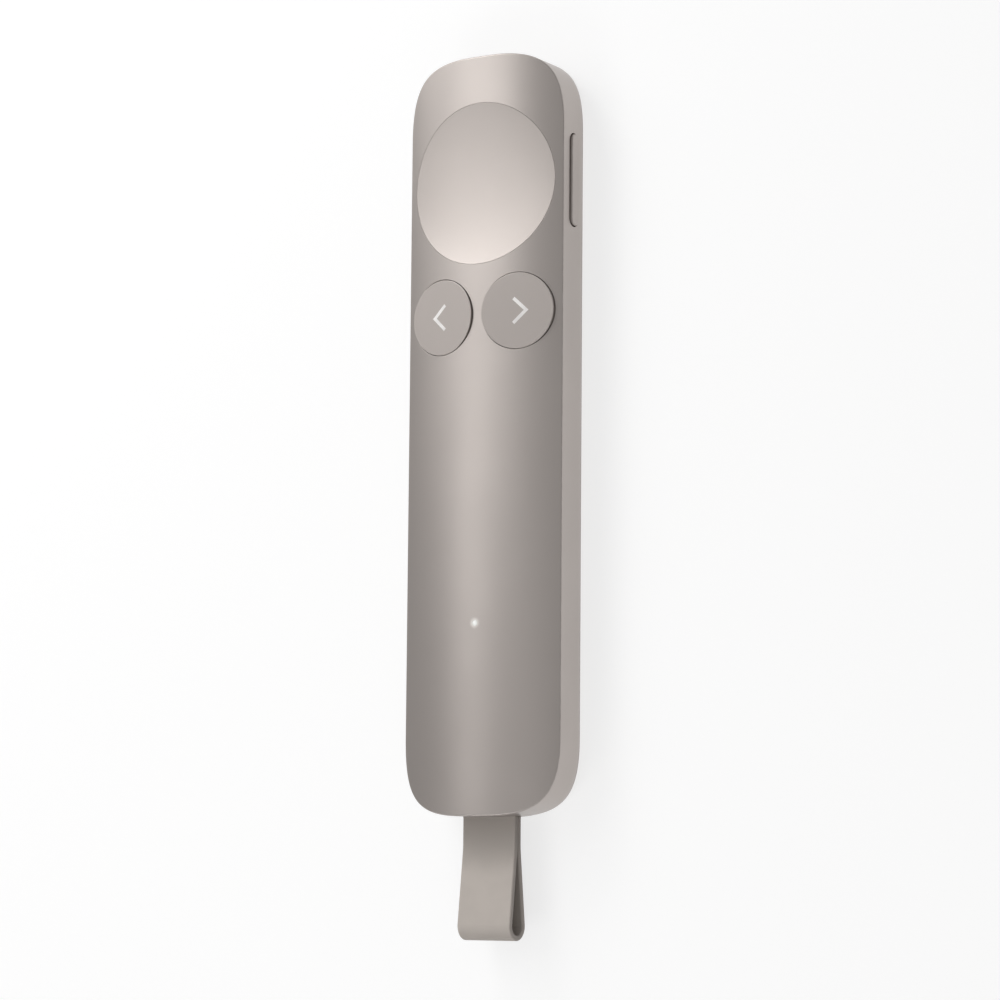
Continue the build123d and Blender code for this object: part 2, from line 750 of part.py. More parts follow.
def build():
    """Every piece by its node's name."""
    outside = housing()
    board_places = {
        "pointer": Pos(0, pointer_y, board_top),
        "back": Pos(-nav_stem_x(), nav_y, board_top),
        "next": Pos(nav_stem_x(), nav_y, board_top),
    }
    side_place = key_plane(side_switch_x).location
    legends = {"back": nav_legend(-1), "next": nav_legend(1)}
    nodes = {
        "front_shell": front_shell(outside),
        "rear_cover": rear_cover(outside),
        "pointer_button": pointer_button(),
        "side_key": side_key(),
        "status_light_pipe": status_light_pipe(),
        "status_led": status_led(),
        "main_board": main_board(),
        "board_screws": board_screws(),
        "battery": battery(),
        "battery_pad": battery_pad(),
        "battery_connector": battery_connector(),
        "battery_leads": battery_leads(),
        "receiver_bay": receiver_bay(),
        "charge_port_shell": charge_port_shell(),
        "charge_port_tongue": charge_port_tongue(),
        "receiver_body": receiver_body(outside),
        "receiver_nose": receiver_nose(),
        "receiver_plug_shell": receiver_plug_shell(),
        "receiver_plug_core": receiver_plug_core(),
        "receiver_board": receiver_board(),
        "receiver_chip": receiver_chip(),
        "strap_pin": strap_pin(),
        "strap_loop": strap_loop(),
    }
    for name, side in (("back", -1), ("next", 1)):
        nodes[f"{name}_legend"] = legends[name]
        nodes[f"{name}_button"] = nav_button(side, legends[name])
    for name, place in board_places.items():
        frame = (switch_size, switch_size, switch_height, switch_recess_radius)
        nodes[f"{name}_switch"] = switch_frame(place, *frame)
        nodes[f"{name}_dome"] = snap_dome(place, dome_radius, dome_rise, switch_height - recess_depth)
    side_frame = (side_switch_length, side_switch_width, side_switch_height, side_recess_radius)
    nodes["side_switch"] = switch_frame(side_place, *side_frame)
    side_floor = side_switch_height - recess_depth
    nodes["side_dome"] = snap_dome(side_place, side_dome_radius, side_dome_rise, side_floor)
    antenna_y = half_length - antenna_margin
    nodes["chip_antenna"] = board_chip(chip_antenna_size, 0, antenna_y, board_top, 1)
    nodes["radio_chip"] = board_chip(radio_chip_size, 0, pointer_y - radio_drop, board_bottom, -1)
    nodes["motion_sensor"] = board_chip(motion_sensor_size, chip_spread, nav_y - sensor_drop, board_top, 1)
    nodes["charger_chip"] = board_chip(charger_chip_size, -chip_spread, light_y + charger_rise, board_top, 1)
    return nodes


os.makedirs("parts", exist_ok=True)
for node, piece in build().items():
    export_step(piece, f"parts/{node}.step")
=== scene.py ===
import json
import math

import bmesh
import bpy
import numpy as np
from mathutils import Matrix, Vector
from mathutils.geometry import delaunay_2d_cdt


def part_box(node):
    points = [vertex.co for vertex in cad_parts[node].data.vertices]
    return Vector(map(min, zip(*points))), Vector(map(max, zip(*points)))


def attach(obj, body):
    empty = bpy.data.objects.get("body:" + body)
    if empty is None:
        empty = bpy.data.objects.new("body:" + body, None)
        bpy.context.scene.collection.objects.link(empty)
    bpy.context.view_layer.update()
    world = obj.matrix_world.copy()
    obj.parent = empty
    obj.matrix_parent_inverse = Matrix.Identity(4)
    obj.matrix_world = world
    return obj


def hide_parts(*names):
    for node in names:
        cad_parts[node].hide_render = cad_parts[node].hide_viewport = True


# The looks of a presentation clicker that lies on its back, round its construction model.
# Shapes are worked out in millimetres: X across, Y towards the pointer button, Z out of the front.

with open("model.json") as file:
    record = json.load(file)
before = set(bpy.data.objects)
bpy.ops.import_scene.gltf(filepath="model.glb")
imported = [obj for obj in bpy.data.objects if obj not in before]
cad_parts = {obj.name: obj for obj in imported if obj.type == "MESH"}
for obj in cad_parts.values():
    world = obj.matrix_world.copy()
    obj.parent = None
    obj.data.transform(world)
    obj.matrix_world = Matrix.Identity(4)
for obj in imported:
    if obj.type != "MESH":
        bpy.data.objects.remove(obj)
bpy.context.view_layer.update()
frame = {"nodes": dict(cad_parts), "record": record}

MM = 0.001


def corners(node):
    """Lowest and highest corner of a construction node at rest, in millimetres."""
    return [np.array(corner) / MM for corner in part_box(node)]


shell_low, shell_high = corners("front_shell")
_, cover_high = corners("rear_cover")
pointer_low, pointer_high = corners("pointer_button")
cap_low, cap_high = corners("next_button")
key_low, key_high = corners("side_key")
light_low, light_high = corners("status_light_pipe")
pin_low, pin_high = corners("strap_pin")
strap_low, strap_high = corners("strap_loop")
receiver_low, receiver_high = corners("receiver_body")

# Housing
HALF_WIDTH = shell_high[0]
HALF_LENGTH = shell_high[1]
CROWN_RISE = 2.6
CROWN_RADIUS = (HALF_WIDTH**2 + CROWN_RISE**2) / (2 * CROWN_RISE)
CROWN_CENTRE = shell_high[2] - CROWN_RADIUS
CORNER_SIZE = 13.3
CORNER_FULLNESS = 0.76
BACK_ROUNDING = 3.2
FRONT_EDGE = 0.3
WALL = 1.1
SHELL_FOOT = shell_low[2]
COVER_SEAM = 0.08
COVER_TOP = SHELL_FOOT - COVER_SEAM
COVER_FLOOR = 1.2
LIP_INSET = 1.2
LIP_THICKNESS = 0.8
LIP_TOP = cover_high[2]

# Buttons
POINTER_Y = (pointer_low[1] + pointer_high[1]) / 2
POINTER_CLEARANCE = 0.11
POINTER_HOLE = pointer_high[0] + POINTER_CLEARANCE
POINTER_SEAM = 0.03
POINTER_CAP = POINTER_HOLE - POINTER_SEAM
DISH_DEPTH = 1.3
POINTER_THICKNESS = 1.2
POINTER_STEM = 1.5
CAP_RADIUS = (cap_high[0] - cap_low[0]) / 2
CAP_X = (cap_high[0] + cap_low[0]) / 2
CAP_Y = (cap_high[1] + cap_low[1]) / 2
CAP_SEAM = 0.08
CAP_THICKNESS = 1.9
CAP_EDGE = 0.12
CAP_STEM = 0.9
LEGEND_HEIGHT = 4.3
LEGEND_WIDTH = 2.35
LEGEND_STROKE = 0.6
LEGEND_DEPTH = 0.25
LEGEND_SHIFT = 0.5
HOOK_WIDTH = 4.4
HOOK_DEPTHS = (1.2, 1.9)
HOOK_ROOT = 1.2

# Side key
KEY_Y = (key_low[1] + key_high[1]) / 2
KEY_Z = (key_low[2] + key_high[2]) / 2
KEY_SLOT = (16.3, 2.8)
KEY_SEAM = 0.16
KEY_EDGE = 0.3
KEY_FACE = key_high[0]
KEY_FLANGE_REACH = 0.4
KEY_FLANGE_GAP = 0.1
KEY_FLANGE_TOP = HALF_WIDTH - WALL - KEY_FLANGE_GAP
KEY_FLANGE_THICKNESS = 0.6
KEY_STEM = 0.5

# Status light
LIGHT_Y = (light_low[1] + light_high[1]) / 2
LIGHT_RADIUS = 0.475
LIGHT_CLEARANCE = 0.02
LIGHT_HOLE_EDGE = 0.03
LIGHT_EDGE = 0.06
LIGHT_DOME = 0.04
LIGHT_FLANGE_GAP = 0.05
LIGHT_FLANGE_THICKNESS = 0.7
LIGHT_SPILL = 1.15

# Receiver's opening
RECEIVER_Z = 5.2
RECEIVER_WIDTH = receiver_high[0] - receiver_low[0]
RECEIVER_HEIGHT = 3.9
RECEIVER_ROUNDING = 0.9
RECEIVER_CLEARANCE = 0.1
BAY_WALL = 0.9

# Strap, whose middle line is given by Y and the height over the pin
STRAP_BAND = 0.95
STRAP_EDGE = 0.32
STRAP_EYE_ARC = math.radians(100)
STRAP_EASING = ((-0.9, -0.05), (0.9, 0.0))
STRAND_START = 3.0
STRAP_NECK = -HALF_LENGTH - 4.5
STRAP_FLARE = 12.0
STRAP_BELLY = 2.5
# The strap's colour carries a painted shadow of the housing, growing from Y = -76 mm to full at -68 mm.
STRAP_PAINTED_SHADOW_FULL = -68.0
STRAP_PAINTED_SHADOW_START = -76.0

# How many sides the round outlines have
POINTER_SIDES = 160
CAP_SIDES = 96
LIGHT_SIDES = 32

# Fine roundings of the moulded edges
HOLE_EDGE = 0.05
POINTER_EDGE = 0.04
SLOT_EDGE = 0.12


def unit(vectors):
    """Vectors brought to length 1."""
    return vectors / np.maximum(np.linalg.norm(vectors, axis=-1, keepdims=True), 1e-12)


def join(*parts):
    """Columns of coordinates side by side. A number stands for a column of that value."""
    count = max(np.size(part) for part in parts)
    return np.stack([np.broadcast_to(part, count) for part in parts], axis=-1).astype(float)


def inside(points, loop):
    """Which points lie in a closed loop: those with an odd number of its edges to their right."""
    after = np.roll(loop, -1, axis=0)
    x, y = points[:, :1], points[:, 1:]
    spans = (loop[:, 1] > y) != (after[:, 1] > y)
    rise = after[:, 1] - loop[:, 1]
    at = loop[:, 0] + (y - loop[:, 1]) * (after[:, 0] - loop[:, 0]) / np.where(rise == 0, 1, rise)
    return np.sum(spans & (x < at), axis=1) % 2 == 1


CLEAR_OF_RIM = 0.6
JOINED = 1e-7


def triangulate(loops, spacing):
    """Triangles that fill the first loop and leave out the rest.

    The corners are the loops' own points, in order, and then those of an even grid that lie well
    inside.
    """
    rim = np.concatenate(loops)
    low, high = loops[0].min(axis=0), loops[0].max(axis=0)
    axes = [np.linspace(a, b, int((b - a) / spacing) + 2) for a, b in zip(low, high)]
    grid = np.stack(np.meshgrid(*axes), axis=-1).reshape(-1, 2)
    free = inside(grid, loops[0])
    for hole in loops[1:]:
        free &= ~inside(grid, hole)
    grid = grid[free]
    if len(grid):
        gap = np.min(np.linalg.norm(grid[:, None] - rim[None], axis=-1), axis=1)
        grid = grid[gap > CLEAR_OF_RIM * spacing]
    points = np.concatenate([rim, grid])
    edges, start = [], 0
    for loop in loops:
        own = np.arange(len(loop))
        edges.append(np.stack([own, np.roll(own, -1)], axis=1) + start)
        start += len(loop)
    edges = np.concatenate(edges).tolist()
    found = delaunay_2d_cdt([Vector(point) for point in points.tolist()], edges, [], 0, JOINED)
    own_index = np.array([origin[0] for origin in found[3]])
    triangles = own_index[np.array(found[2])]
    middles = points[triangles].mean(axis=1)
    keep = inside(middles, loops[0])
    for hole in loops[1:]:
        keep &= ~inside(middles, hole)
    return points, triangles[keep]


def add_object(name, data):
    """A new object in the scene."""
    made = bpy.data.objects.new(name, data)
    bpy.context.scene.collection.objects.link(made)
    return made


def read(items, name, width=3):
    """One property of all the items of a mesh, a row each."""
    values = np.zeros(width * len(items))
    items.foreach_get(name, values)
    return values.reshape(-1, width)


class Skin:
    """The surface of one piece, gathered patch by patch and joined where the patches meet.

    Every patch keeps its own exact normals, so a flat shades as a flat and an arc as an arc. The
    attribute edge_wear is 1 along the middle of a rounded edge and 0 elsewhere, and inner_side is 1
    on a side that faces inwards.
    """

    def __init__(self):
        self.points = []
        self.normals = []
        self.wear = []
        self.inner = []
        self.faces = []
        self.count = 0

    def patch(self, points, normals, faces, wear=0.0, inner=0.0):
        """Points with their normals and the faces between them. A triangle repeats its last corner."""
        points = np.reshape(points, (-1, 3))
        self.faces.append(np.asarray(faces)[:, [0, 1, 2, -1]] + self.count)
        self.points.append(points)
        self.normals.append(np.reshape(normals, (-1, 3)))
        self.wear.append(np.broadcast_to(wear, len(points)))
        self.inner.append(np.broadcast_to(inner, len(points)))
        self.count += len(points)

    def band(self, rows, normals=None, closed=True, wear=0.0, inner=0.0):
        """Quads between the rows of a grid. The normals are across its two directions.

        Wear is given for each row, and how far a point faces inwards for each column.
        """
        rows = np.asarray(rows, float)
        height, width = rows.shape[:2]
        if normals is None:
            around = np.roll(rows, -1, 1) - np.roll(rows, 1, 1) if closed else np.gradient(rows, axis=1)
            normals = unit(np.cross(around, np.gradient(rows, axis=0)))
        row = np.arange(height - 1)[:, None] * width
        column = np.arange(width if closed else width - 1)[None, :]
        after = (column + 1) % width
        near, far = (row + column, row + after), (row + width + after, row + width + column)
        quads = np.stack([*near, *far], axis=-1)
        worn = np.repeat(np.broadcast_to(wear, height), width)
        facing_in = np.tile(np.broadcast_to(inner, width), height)
        self.patch(rows, normals, quads.reshape(-1, 4), worn, facing_in)

    def fill(self, loops, lift, spacing, axes=(0, 1), flat_loops=None):
        """A sheet inside the first loop, with holes at the rest.

        It is triangulated flat, along two axes or between flat loops of its own, at an even
        spacing. The lift turns flat points into points and normals, and the loops give the places
        of the sheet's edges.
        """
        if flat_loops is None:
            flat_loops = [loop[:, axes] for loop in loops]
        flat, triangles = triangulate(flat_loops, spacing)
        points, normals = lift(flat)
        rim = np.concatenate(loops)
        points[: len(rim)] = rim
        self.patch(points, normals, triangles)

    def walls(self, upper, lower):
        """A flat wall below each edge of a polygon with sharp corners."""
        quads = np.stack([upper, np.roll(upper, -1, 0), np.roll(lower, -1, 0), lower], axis=1)
        normals = unit(np.cross(quads[:, 1] - quads[:, 0], quads[:, 3] - quads[:, 0]))
        faces = np.arange(4 * len(quads)).reshape(-1, 4)
        self.patch(quads, np.repeat(normals, 4, axis=0), faces)

    def make(self, name, slot, body, *nodes):
        """The piece as a mesh object that rides on a body and stands for construction nodes.

        Corners at one place become one. A face loses its repeated corners, and goes if fewer than
        three are left.
        """
        points = np.concatenate(self.points)
        normals = np.concatenate(self.normals)
        _, first, own = np.unique(np.round(points, 6), axis=0, return_index=True, return_inverse=True)
        corner_points = np.concatenate(self.faces)
        joined = own.reshape(-1)[corner_points]
        keep = np.ones(joined.shape, bool)
        for later in range(1, 4):
            keep[:, later] = np.all(joined[:, :later] != joined[:, later : later + 1], axis=1)
        keep &= np.sum(keep, axis=1, keepdims=True) > 2
        corner_points = corner_points[keep]
        sizes = np.sum(keep, axis=1)
        faces = np.split(joined[keep], np.cumsum(sizes[sizes > 0])[:-1])
        mesh = bpy.data.meshes.new(name)
        mesh.from_pydata((points[first] * MM).tolist(), [], faces)
        layer = mesh.attributes.new("own_normal", "FLOAT_VECTOR", "CORNER")
        layer.data.foreach_set("vector", normals[corner_points].ravel())
        for layer_name, values in (("edge_wear", self.wear), ("inner_side", self.inner)):
            layer = mesh.attributes.new(layer_name, "FLOAT", "CORNER")
            layer.data.foreach_set("value", np.concatenate(values)[corner_points])
        built = bmesh.new()
        built.from_mesh(mesh)
        bmesh.ops.recalc_face_normals(built, faces=built.faces)
        built.to_mesh(mesh)
        built.free()
        corner_normals = read(mesh.attributes["own_normal"].data, "vector")
        sizes = read(mesh.polygons, "loop_total", 1)[:, 0].astype(int)
        flat_normals = np.repeat(read(mesh.polygons, "normal"), sizes, axis=0)
        facing = np.sign(np.sum(corner_normals * flat_normals, axis=1, keepdims=True))
        mesh.shade_smooth()
        own_normals = np.where(facing == 0, flat_normals, corner_normals * facing)
        mesh.normals_split_custom_set(own_normals.tolist())
        mesh.attributes.remove(mesh.attributes["own_normal"])
        piece = add_object(name, mesh)
        mesh.materials.append(FINISHES[slot])
        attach(piece, body)
        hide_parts(*nodes)


# -------- shared shapes


def crown(x, drop=0.0):
    """Height and normals of a cylinder's top that runs at an even depth below the front."""
    radius = CROWN_RADIUS - drop
    rise = np.sqrt(radius**2 - np.asarray(x, float) ** 2)
    return CROWN_CENTRE + rise, join(x / radius, 0.0, rise / radius)


def crown_lift(drop=0.0):
    """Lifts plan points onto that surface."""
    def lift(flat):
        height, normals = crown(flat[:, 0], drop)
        return join(*flat.T, height), normals
    return lift


def rounding(centres, start, end, radius, steps=5):
    """A rounded edge: about each centre an arc turns evenly from one direction to the other."""
    angle = np.arccos(np.clip(np.sum(start * end, axis=-1, keepdims=True), -1, 1))
    share = np.linspace(0, 1, steps + 1)[:, None, None]
    normals = (np.sin((1 - share) * angle) * start + np.sin(share * angle) * end) / np.sin(angle)
    return centres + radius * normals, normals, np.sin(np.pi * share[:, 0, 0])


def circle(x, y, radius, count):
    """Points round a plan circle, and the directions from its centre to them."""
    turn = np.linspace(0, 2 * math.pi, count, endpoint=False)
    spokes = join(np.cos(turn), np.sin(turn))
    return np.array([x, y]) + radius * spokes, spokes


def stadium(middle, length, width, grow, per_end=20):
    """A slot's outline grown evenly all round, and its outward directions: two half circles."""
    turn = np.linspace(-math.pi / 2, math.pi / 2, per_end)
    half = (length - width) / 2
    directions = join(np.cos(turn), np.sin(turn))
    directions = np.concatenate([directions, -directions])
    centres = np.array(middle) + join(np.repeat([half, -half], per_end), 0.0)
    return centres + (width / 2 + grow) * directions, directions


def rounded_box(middle, width, height, rounding_radius, grow, per_corner=8, per_side=24):
    """A box with round corners grown evenly all round, and its outward directions.

    The corners are quarter circles. Each run between them that is longer than their radius is
    divided evenly.
    """
    points, directions = [], []
    reach = np.array([width / 2, height / 2]) - rounding_radius
    for quarter, (x, y) in enumerate([(1, 1), (-1, 1), (-1, -1), (1, -1)]):
        turn = np.linspace(0, math.pi / 2, per_corner) + quarter * math.pi / 2
        arc = join(np.cos(turn), np.sin(turn))
        points.append(reach * (x, y) + (rounding_radius + grow) * arc)
        directions.append(arc)
    loop, facing = np.concatenate(points), np.concatenate(directions)
    run = np.linalg.norm(np.roll(loop, -1, axis=0) - loop, axis=1)
    parts = np.where(run > rounding_radius, per_side, 1)
    first = np.repeat(np.arange(len(loop)), parts)
    after = (first + 1) % len(loop)
    step = np.arange(len(first)) - np.repeat(np.cumsum(parts) - parts, parts)
    share = (step / parts[first])[:, None]
    full = loop[first] * (1 - share) + loop[after] * share
    return np.array(middle) + full, unit(facing[first] * (1 - share) + facing[after] * share)


def bezier(knots, share):
    """Points of the cubic Bezier curve of four knots, and its direction at each."""
    rest = 1 - share
    weights = (rest**3, 3 * rest**2 * share, 3 * rest * share**2, share**3)
    slopes = (3 * rest**2, 6 * rest * share, 3 * share**2)
    points = sum(weight * knot for weight, knot in zip(weights, knots))
    return points, sum(slope * step for slope, step in zip(slopes, np.diff(knots, axis=0)))


def outline():
    """The housing's plan outline, from the middle of its left side anticlockwise and back.

    One quarter is half a side, a corner that is a cubic Bezier curve, and half an end. The others
    mirror it. Returns the distance run, the points and the outward directions.
    """
    straight = np.linspace(0, HALF_LENGTH - CORNER_SIZE, 50)
    side = join(HALF_WIDTH, straight)
    side_facing = np.broadcast_to([1.0, 0.0], side.shape)
    share = np.linspace(0, 1, 45)[1:, None]
    inner = np.array([HALF_WIDTH - CORNER_SIZE, HALF_LENGTH - CORNER_SIZE])
    handles = np.array([(1, 0), (1, CORNER_FULLNESS), (CORNER_FULLNESS, 1), (0, 1)])
    corner, along = bezier(inner + CORNER_SIZE * handles, share)
    corner_facing = unit(join(along[:, 1], -along[:, 0]))
    end = join(np.linspace(HALF_WIDTH - CORNER_SIZE, 0, 5)[1:], HALF_LENGTH)
    end_facing = np.broadcast_to([0.0, 1.0], end.shape)
    quarter = np.concatenate([side, corner, end])
    facing = np.concatenate([side_facing, corner_facing, end_facing])
    points, directions = [], []
    for signs, step in (((-1, -1), 1), ((1, -1), -1), ((1, 1), 1), ((-1, 1), -1)):
        points.append((quarter * signs)[::step][:-1])
        directions.append((facing * signs)[::step][:-1])
    points = np.concatenate([*points, points[0][:1]])
    directions = np.concatenate([*directions, directions[0][:1]])
    run = np.concatenate([[0], np.cumsum(np.linalg.norm(np.diff(points, axis=0), axis=1))])
    return run, points, directions


RUN, OUTLINE, FACING = outline()


def side_lift(inset=0.0, rounded=True):
    """Lifts points given as distance along the outline and height onto the housing's side."""
    def lift(flat):
        x, y = (np.interp(flat[:, 0], RUN, OUTLINE[:, axis]) for axis in (0, 1))
        facing = unit(join(*(np.interp(flat[:, 0], RUN, FACING[:, axis]) for axis in (0, 1))))
        sine = np.clip((BACK_ROUNDING - flat[:, 1]) / BACK_ROUNDING, 0, 1) if rounded else 0 * x
        drawn = inset + BACK_ROUNDING * (1 - np.sqrt(1 - sine**2))
        cosine = np.sqrt(1 - sine**2)
        points = join(x - drawn * facing[:, 0], y - drawn * facing[:, 1], flat[:, 1])
        return points, join(*cosine * facing.T, -sine)
    return lift


def level_lift(height, up=1.0):
    """Lifts plan points to one height."""
    return lambda flat: (join(*flat.T, height), join(0 * flat[:, 0], 0.0, up))


def cross_lift(x):
    """Lifts points given by Y and Z to one X."""
    return lambda flat: (join(x, *flat.T), join(np.ones(len(flat)), 0.0, 0.0))


# -------- housing


def hole_in_front(skin, x, y, radius, edge, count):
    """A round hole down through the front, its edge rounded. Returns its loops outside and inside."""
    plan, spokes = circle(x, y, radius + edge, count)
    height, crown_facing = crown(plan[:, 0], edge)
    inward = join(*-spokes.T, 0.0)
    rows, normals, wear = rounding(join(*plan.T, height), crown_facing, inward, edge)
    skin.band(rows, normals, wear=wear)
    plan, _ = circle(x, y, radius, count)
    foot = join(*plan.T, crown(plan[:, 0], WALL)[0])
    skin.band([rows[-1], foot])
    return rows[0], foot


def front_shell():
    """Crowned front and upright sides in one moulding, with the holes for what comes through."""
    skin = Skin()
    course, facing = OUTLINE[:-1], FACING[:-1]
    centre = course - FRONT_EDGE * facing
    height, crown_facing = crown(centre[:, 0], FRONT_EDGE)
    outward = join(*facing.T, 0.0)
    rim, normals, wear = rounding(join(*centre.T, height), crown_facing, outward, FRONT_EDGE, 6)
    skin.band(rim, normals, wear=wear)

    holes = [hole_in_front(skin, 0, POINTER_Y, POINTER_HOLE, POINTER_EDGE, POINTER_SIDES)]
    cap_hole = (CAP_RADIUS + CAP_SEAM, HOLE_EDGE, CAP_SIDES)
    for side in (-1, 1):
        holes.append(hole_in_front(skin, side * CAP_X, CAP_Y, *cap_hole))
    light_hole = (LIGHT_RADIUS + LIGHT_CLEARANCE, LIGHT_HOLE_EDGE, LIGHT_SIDES)
    holes.append(hole_in_front(skin, 0, LIGHT_Y, *light_hole))
    skin.fill([rim[0], *(top for top, _ in holes)], crown_lift(), spacing=1.1)

    inner = course - WALL * facing
    ceiling = join(*inner.T, crown(inner[:, 0], WALL)[0])
    skin.fill([ceiling, *(foot for _, foot in holes)], crown_lift(WALL), spacing=1.6)

    slot = key_slot(skin)
    mouth = receiver_mouth(skin)
    side_sheet(skin, rim[-1], 0.0, [slot[0], mouth[0]])
    side_sheet(skin, ceiling, WALL, [slot[1], mouth[1]])
    foot_run = join(RUN[:-1], SHELL_FOOT)
    skin.band([side_lift()(foot_run)[0], side_lift(WALL, rounded=False)(foot_run)[0]])
    skin.make("front_shell_skin", "housing_paint", "housing", "front_shell")


def key_slot(skin):
    """The side key's slot through the right side. Returns its loops outside and inside."""
    right_half = slice(len(RUN) // 4, 3 * len(RUN) // 4)
    run_at_key = np.interp(0, OUTLINE[right_half, 1], RUN[right_half])
    grown, directions = stadium((KEY_Y, KEY_Z), *KEY_SLOT, SLOT_EDGE)
    centres = join(HALF_WIDTH - SLOT_EDGE, *grown.T)
    outward = join(np.ones(len(grown)), 0.0, 0.0)
    rows, normals, wear = rounding(centres, outward, join(0 * grown[:, 0], *-directions.T), SLOT_EDGE)
    skin.band(rows, normals, wear=wear)
    slot, _ = stadium((KEY_Y, KEY_Z), *KEY_SLOT, 0)
    foot = join(HALF_WIDTH - WALL, *slot.T)
    skin.band([rows[-1], foot])
    return [(join(run_at_key + loop[:, 1], loop[:, 2]), loop) for loop in (rows[0], foot)]


def receiver_mouth(skin):
    """The receiver's opening through the lower end. Returns its loops outside and inside."""
    lower_end = slice(len(RUN) // 8, 3 * len(RUN) // 8)
    run, course, facing = RUN[lower_end], OUTLINE[lower_end], FACING[lower_end]
    side_margin = 0.5
    keep = (np.abs(course[:, 0]) < HALF_WIDTH - side_margin) & (course[:, 1] < 0)
    run, course, facing = run[keep], course[keep], facing[keep]
    size = (RECEIVER_WIDTH + 2 * RECEIVER_CLEARANCE, RECEIVER_HEIGHT + 2 * RECEIVER_CLEARANCE)
    corner = RECEIVER_ROUNDING + RECEIVER_CLEARANCE
    section, _ = rounded_box((0, RECEIVER_Z), *size, corner, 0)
    grown, directions = rounded_box((0, RECEIVER_Z), *size, corner, HOLE_EDGE)
    near = course - HOLE_EDGE * facing
    at = np.interp(grown[:, 0], near[:, 0], run)
    outward = join(np.interp(at, run, facing[:, 0]), np.interp(at, run, facing[:, 1]), 0.0)
    centres = join(grown[:, 0], np.interp(at, run, near[:, 1]), grown[:, 1])
    inward = join(-directions[:, 0], 0.0, -directions[:, 1])
    rows, normals, wear = rounding(centres, unit(outward), inward, HOLE_EDGE)
    skin.band(rows, normals, wear=wear)
    far = course - WALL * facing
    inner_at = np.interp(section[:, 0], far[:, 0], run)
    foot = join(section[:, 0], np.interp(inner_at, run, far[:, 1]), section[:, 1])
    skin.band([rows[-1], foot])
    return [(join(at, rows[0][:, 2]), rows[0]), (join(inner_at, foot[:, 2]), foot)]


def side_sheet(skin, top, inset, holes):
    """The upright side between a top loop and the shell's foot, outside or inside the wall."""
    lift = side_lift(inset, rounded=inset == 0)
    foot_flat = join(RUN, SHELL_FOOT)
    foot = lift(foot_flat)[0]
    top_flat = join(RUN, np.append(top[:, 2], top[0, 2]))
    levels = np.linspace(SHELL_FOOT, top[0, 2], 8)[1:-1]
    seam = [join(at, levels) for at in (RUN[-1], RUN[0])]
    flat = np.concatenate([foot_flat, seam[0], top_flat[::-1], seam[1][::-1]])
    closed_top = np.concatenate([top, top[:1]])
    loop = np.concatenate([foot, lift(seam[0])[0], closed_top[::-1], lift(seam[1])[0][::-1]])
    flat_holes, hole_loops = zip(*holes)
    skin.fill([loop, *hole_loops], lift, spacing=0.9, flat_loops=[flat, *flat_holes])


def rear_cover():
    """The back, a shallow tray with a rounded outside and a lip that snaps into the shell."""
    skin = Skin()
    course, facing = OUTLINE[:-1], FACING[:-1]

    def ring(inset, height):
        return join(*(course - inset * facing).T, height)

    top_angle = math.asin((BACK_ROUNDING - COVER_TOP) / BACK_ROUNDING)
    rows, normals = [], []
    for angle in np.linspace(math.pi / 2, top_angle, 12):
        cosine, sine = math.cos(angle), math.sin(angle)
        rows.append(ring(BACK_ROUNDING * (1 - cosine), BACK_ROUNDING * (1 - sine)))
        normals.append(join(*cosine * facing.T, -sine))
    skin.band(rows, normals)
    skin.fill([rows[0]], level_lift(0.0, -1.0), spacing=2.4)
    bay_side = RECEIVER_WIDTH / 2 + RECEIVER_CLEARANCE + BAY_WALL
    open_side = (np.abs(course[:, 0]) < bay_side) & (course[:, 1] < CORNER_SIZE - HALF_LENGTH)
    lip_top = np.where(open_side, COVER_TOP, LIP_TOP)
    lip_inset = LIP_INSET + LIP_THICKNESS
    skin.band([rows[-1], ring(LIP_INSET, COVER_TOP)])
    skin.band([ring(LIP_INSET, COVER_TOP), ring(LIP_INSET, lip_top)])
    skin.band([ring(LIP_INSET, lip_top), ring(lip_inset, lip_top)])
    skin.band([ring(lip_inset, lip_top), ring(lip_inset, COVER_FLOOR)])
    skin.fill([ring(lip_inset, COVER_FLOOR)], level_lift(COVER_FLOOR), spacing=2.4)
    skin.make("rear_cover_skin", "housing_paint", "housing", "rear_cover")


# -------- buttons


def hooks(skin, x, y, root, tip):
    """Two tabs under the front that keep a cap in: bars whose tops and feet follow the crown."""
    across = np.linspace(x - HOOK_WIDTH / 2, x + HOOK_WIDTH / 2, 9)
    top, foot = (crown(across, depth)[0] for depth in HOOK_DEPTHS)
    for direction in (-1, 1):
        near, far = y + direction * root, y + direction * tip
        ring = ((near, top), (far, top), (far, foot), (near, foot))
        bar = np.stack([join(across, *corner) for corner in ring])
        for first in range(4):
            skin.band(bar[[first, (first + 1) % 4]], closed=False)
        for end in (0, -1):
            skin.patch(bar[:, end], np.tile([1.0, 0.0, 0.0], (4, 1)), [range(4)])


def stem(skin, foot_loop, foot_height):
    """A round stem from a loop on the underside of a cap straight down, closed by a flat end."""
    end = join(*foot_loop[:, :2].T, foot_height)
    skin.band([foot_loop, end])
    skin.fill([end], level_lift(foot_height, -1.0), spacing=0.6)


def dish(x, y, drop=0.0):
    """The pointer's dished face.

    It hangs from the crown by a depth that is greatest in the middle and fades with the square of
    the distance from there to nothing at the rim. Returns height and normals.
    """
    off = y - POINTER_Y
    height, _ = crown(x)
    height = height - DISH_DEPTH * (1 - (x**2 + off**2) / POINTER_HOLE**2) - drop
    slope_x = -x / np.sqrt(CROWN_RADIUS**2 - x**2) + 2 * DISH_DEPTH * x / POINTER_HOLE**2
    slope_y = 2 * DISH_DEPTH * off / POINTER_HOLE**2
    return height, unit(join(-slope_x, -slope_y, 1.0))


def dish_lift(drop=0.0):
    """Lifts plan points onto the dished face or the cap's underside."""
    def lift(flat):
        height, normals = dish(*flat.T, drop)
        return join(*flat.T, height), normals
    return lift


